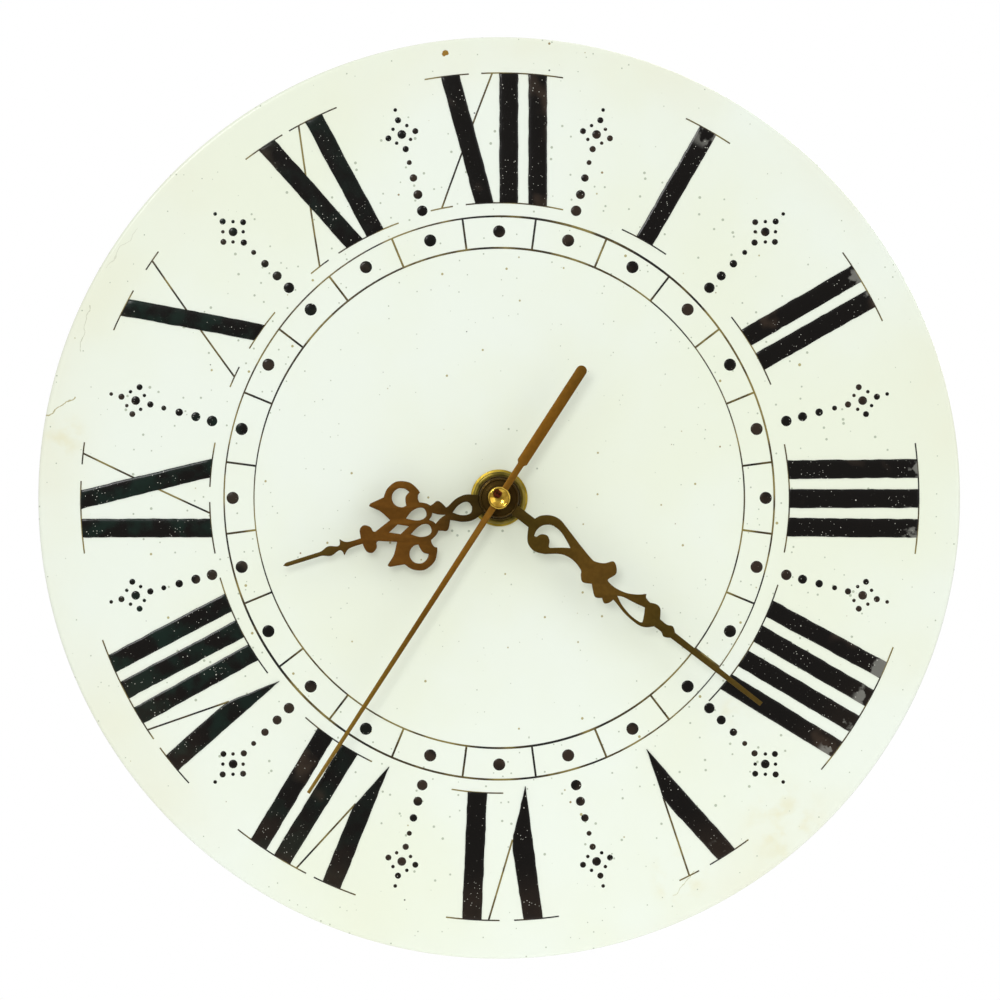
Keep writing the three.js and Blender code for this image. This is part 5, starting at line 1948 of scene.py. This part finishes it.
    def battery(self) -> None:
        """An AA cell turned about X: jacket rolled over both ends, bare end faces and a nub."""
        low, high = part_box("battery_cell")
        middle = (low + high) / 2
        radius = (high.z - low.z) / 2 / MM
        start, end = low.x / MM, high.x / MM
        minus_end = [(0.0, start + 0.3), (4.6, start + 0.3), (5.2, start + 0.1)]
        jacket = [
            (radius - 0.7, start), (radius - 0.15, start + 0.25), (radius, start + 0.8),
            (radius, end - 2.0), (radius - 0.15, end - 1.45), (radius - 0.7, end - 1.2),
        ]
        plus_end = [
            (5.6, end - 1.25), (5.3, end - 1.5), (3.2, end - 1.5), (2.85, end - 1.3),
            (2.75, end - 0.25), (2.5, end), (0.0, end),
        ]
        radii, along = np.array(minus_end + jacket + plus_end).T * MM
        angle = np.linspace(0, TURN, self.cell_columns, endpoint=False)
        x = np.repeat(along[:, None], self.cell_columns, axis=1)
        y = middle.y + radii[:, None] * np.cos(angle)
        z = middle.z + radii[:, None] * np.sin(angle)
        surface = Surface.grid(np.stack([x, y, z], axis=-1), wrap_columns=True)
        make_piece(
            "cell_jacketed",
            [surface],
            self.finishes.of(Slot.CELL_JACKET),
            Slot.CELL_JACKET,
            "battery_set",
            ("battery_cell",),
            TURNED_CREASE,
        )


# ---- studio ------------------------------------------------------------------------------------


@dataclass
class Studio:
    """White studio: a long-lens camera straight in front of the dial, soft lights and a pale floor.

    The world's strength grows with height and falls off round the camera: each pair is a range of the
    direction's part, -1 to 1, or the strengths at the two ends of that range.
    """

    view_width: float = 0.244
    distance: float = 3.0
    aim: tuple[float, float] = (0.0002, -0.0005)
    sensor: float = 36.0
    floor_level: float = -0.2
    floor_radius: float = 0.3
    upward: tuple[float, float] = (-0.8, 0.8)
    upward_strength: tuple[float, float] = (0.54, 0.88)
    from_camera: tuple[float, float] = (-0.99, -0.8)
    from_camera_strength: tuple[float, float] = (0.5, 1.0)

    def build(self) -> None:
        """Makes the camera, world, lights and floor."""
        scene = bpy.context.scene
        scene.view_settings.view_transform = "Standard"
        self.camera(scene)
        self.world(scene)
        self.lamp("key", (-0.12, -1.0, 0.17), size=0.26, power=2.35, mirrored=False)
        self.lamp("sheen", (-0.4, -0.98, 0.46), size=0.3, power=3.6, spread=False)
        self.lamp("fill", (0.75, -0.85, 0.25), size=0.6, power=1.3)
        self.lamp("back", (0.5, 0.9, 0.5), size=0.8, power=5.0)
        self.floor()

    def camera(self, scene: bpy.types.Scene) -> None:
        """Puts the camera on the -Y side, with a lens that takes in the view's width at the dial.

        Args:
            scene: gets the camera.
        """
        low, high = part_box("dial")
        data = bpy.data.cameras.new("camera")
        data.sensor_width = self.sensor
        data.lens = self.sensor * self.distance / self.view_width
        data.clip_end = 20
        camera = bpy.data.objects.new("camera", data)
        camera.location = (self.aim[0], (low.y + high.y) / 2 - self.distance, self.aim[1])
        camera.rotation_euler = (math.pi / 2, 0, 0)
        scene.collection.objects.link(camera)
        scene.camera = camera

    def world(self, scene: bpy.types.Scene) -> None:
        """White behind the object; for light and reflections a soft gradient, dim round the camera.

        Args:
            scene: gets the world.
        """
        world = bpy.data.worlds.new("studio")
        world.use_nodes = True
        nodes = Nodes(world.node_tree)
        nodes.tree.nodes.clear()
        place = nodes.add("ShaderNodeTexCoord", {}).outputs["Generated"]
        parts = nodes.add("ShaderNodeSeparateXYZ", {0: place}).outputs
        height = self.graded(nodes, parts[2], self.upward, self.upward_strength)
        ahead = self.graded(nodes, parts[1], self.from_camera, self.from_camera_strength)
        strength = nodes.add("ShaderNodeMath", {0: height, 1: ahead}, operation="MULTIPLY").outputs[0]
        white = (1.0, 1.0, 1.0, 1.0)
        soft = nodes.add("ShaderNodeBackground", {"Color": white, "Strength": strength}).outputs[0]
        plain = nodes.add("ShaderNodeBackground", {"Color": white}).outputs[0]
        seen = nodes.add("ShaderNodeLightPath", {}).outputs["Is Camera Ray"]
        choice = nodes.add("ShaderNodeMixShader", {0: seen, 1: soft, 2: plain}).outputs[0]
        nodes.add("ShaderNodeOutputWorld", {0: choice})
        scene.world = world

    @staticmethod
    def graded(nodes: Nodes, value: object, span: tuple[float, float], result: tuple[float, float]) -> object:
        """A value carried from one range to another in a straight line, held at the ends.

        Args:
            nodes: the tree it is built in.
            value: what is carried.
            span: its range.
            result: the range it is carried to.

        Returns:
            The carried value.
        """
        inputs = {"Value": value, "From Min": span[0], "From Max": span[1]}
        inputs |= {"To Min": result[0], "To Max": result[1]}
        return nodes.add("ShaderNodeMapRange", inputs).outputs[0]

    def lamp(
        self,
        name: str,
        place: tuple[float, float, float],
        size: float,
        power: float,
        mirrored: bool = True,
        spread: bool = True,
    ) -> None:
        """A soft square lamp that faces the hand axis.

        Args:
            name: the lamp's name.
            place: where it hangs, in metres.
            size: side of its square.
            power: its power in watts.
            mirrored: whether polished faces mirror it.
            spread: whether matt faces are lit by it.
        """
        data = bpy.data.lights.new(name, "AREA")
        data.size = size
        data.energy = power
        lamp = bpy.data.objects.new(name, data)
        lamp.location = place
        lamp.visible_glossy = mirrored
        lamp.visible_diffuse = spread
        lamp.rotation_euler = (-Vector(place)).to_track_quat("-Z", "Y").to_euler()
        bpy.context.scene.collection.objects.link(lamp)

    def floor(self) -> None:
        """A pale round floor below the clock: rings of points at even steps out from the middle."""
        reach = np.linspace(0, self.floor_radius, 12)
        angle = np.linspace(0, TURN, 64, endpoint=False)
        x = reach[:, None] * np.sin(angle)
        y = reach[:, None] * np.cos(angle)
        points = np.stack([x, y, np.full_like(x, self.floor_level)], axis=-1)
        disc = Surface.grid(points, wrap_columns=True)
        mesh = bpy.data.meshes.new("floor")
        mesh.from_pydata(disc.points.tolist(), [], disc.faces)
        graph = Graph("pale_floor")
        colour = graph.mix(graph.noise(6), srgb(244, 244, 242), srgb(250, 250, 249))
        graph.set(Base_Color=colour, Roughness=0.7)
        mesh.materials.append(graph.material)
        floor = bpy.data.objects.new("floor", mesh)
        bpy.context.scene.collection.objects.link(floor)


def main() -> None:
    """Builds the clock's looks in order."""
    Studio().build()
    finishes = Finishes()
    finishes.dress_nodes()
    dial = Dial(finishes)
    dial.build()
    relief = Relief(dial)
    NumeralRing(finishes, relief).build()
    ChapterRing(finishes, relief).build()
    for node, body, slot in (
        ("hour_hand", "hour_hand_set", Slot.HOUR_BRONZE),
        ("minute_hand", "minute_hand_set", Slot.MINUTE_BRONZE),
        ("second_hand", "second_hand_set", Slot.SECOND_BRONZE),
    ):
        SheetHand(node, body, finishes.of(slot), slot).build()
    CentreFittings(finishes).build()
    Movement(finishes).build()


if __name__ == "__main__":
    main()
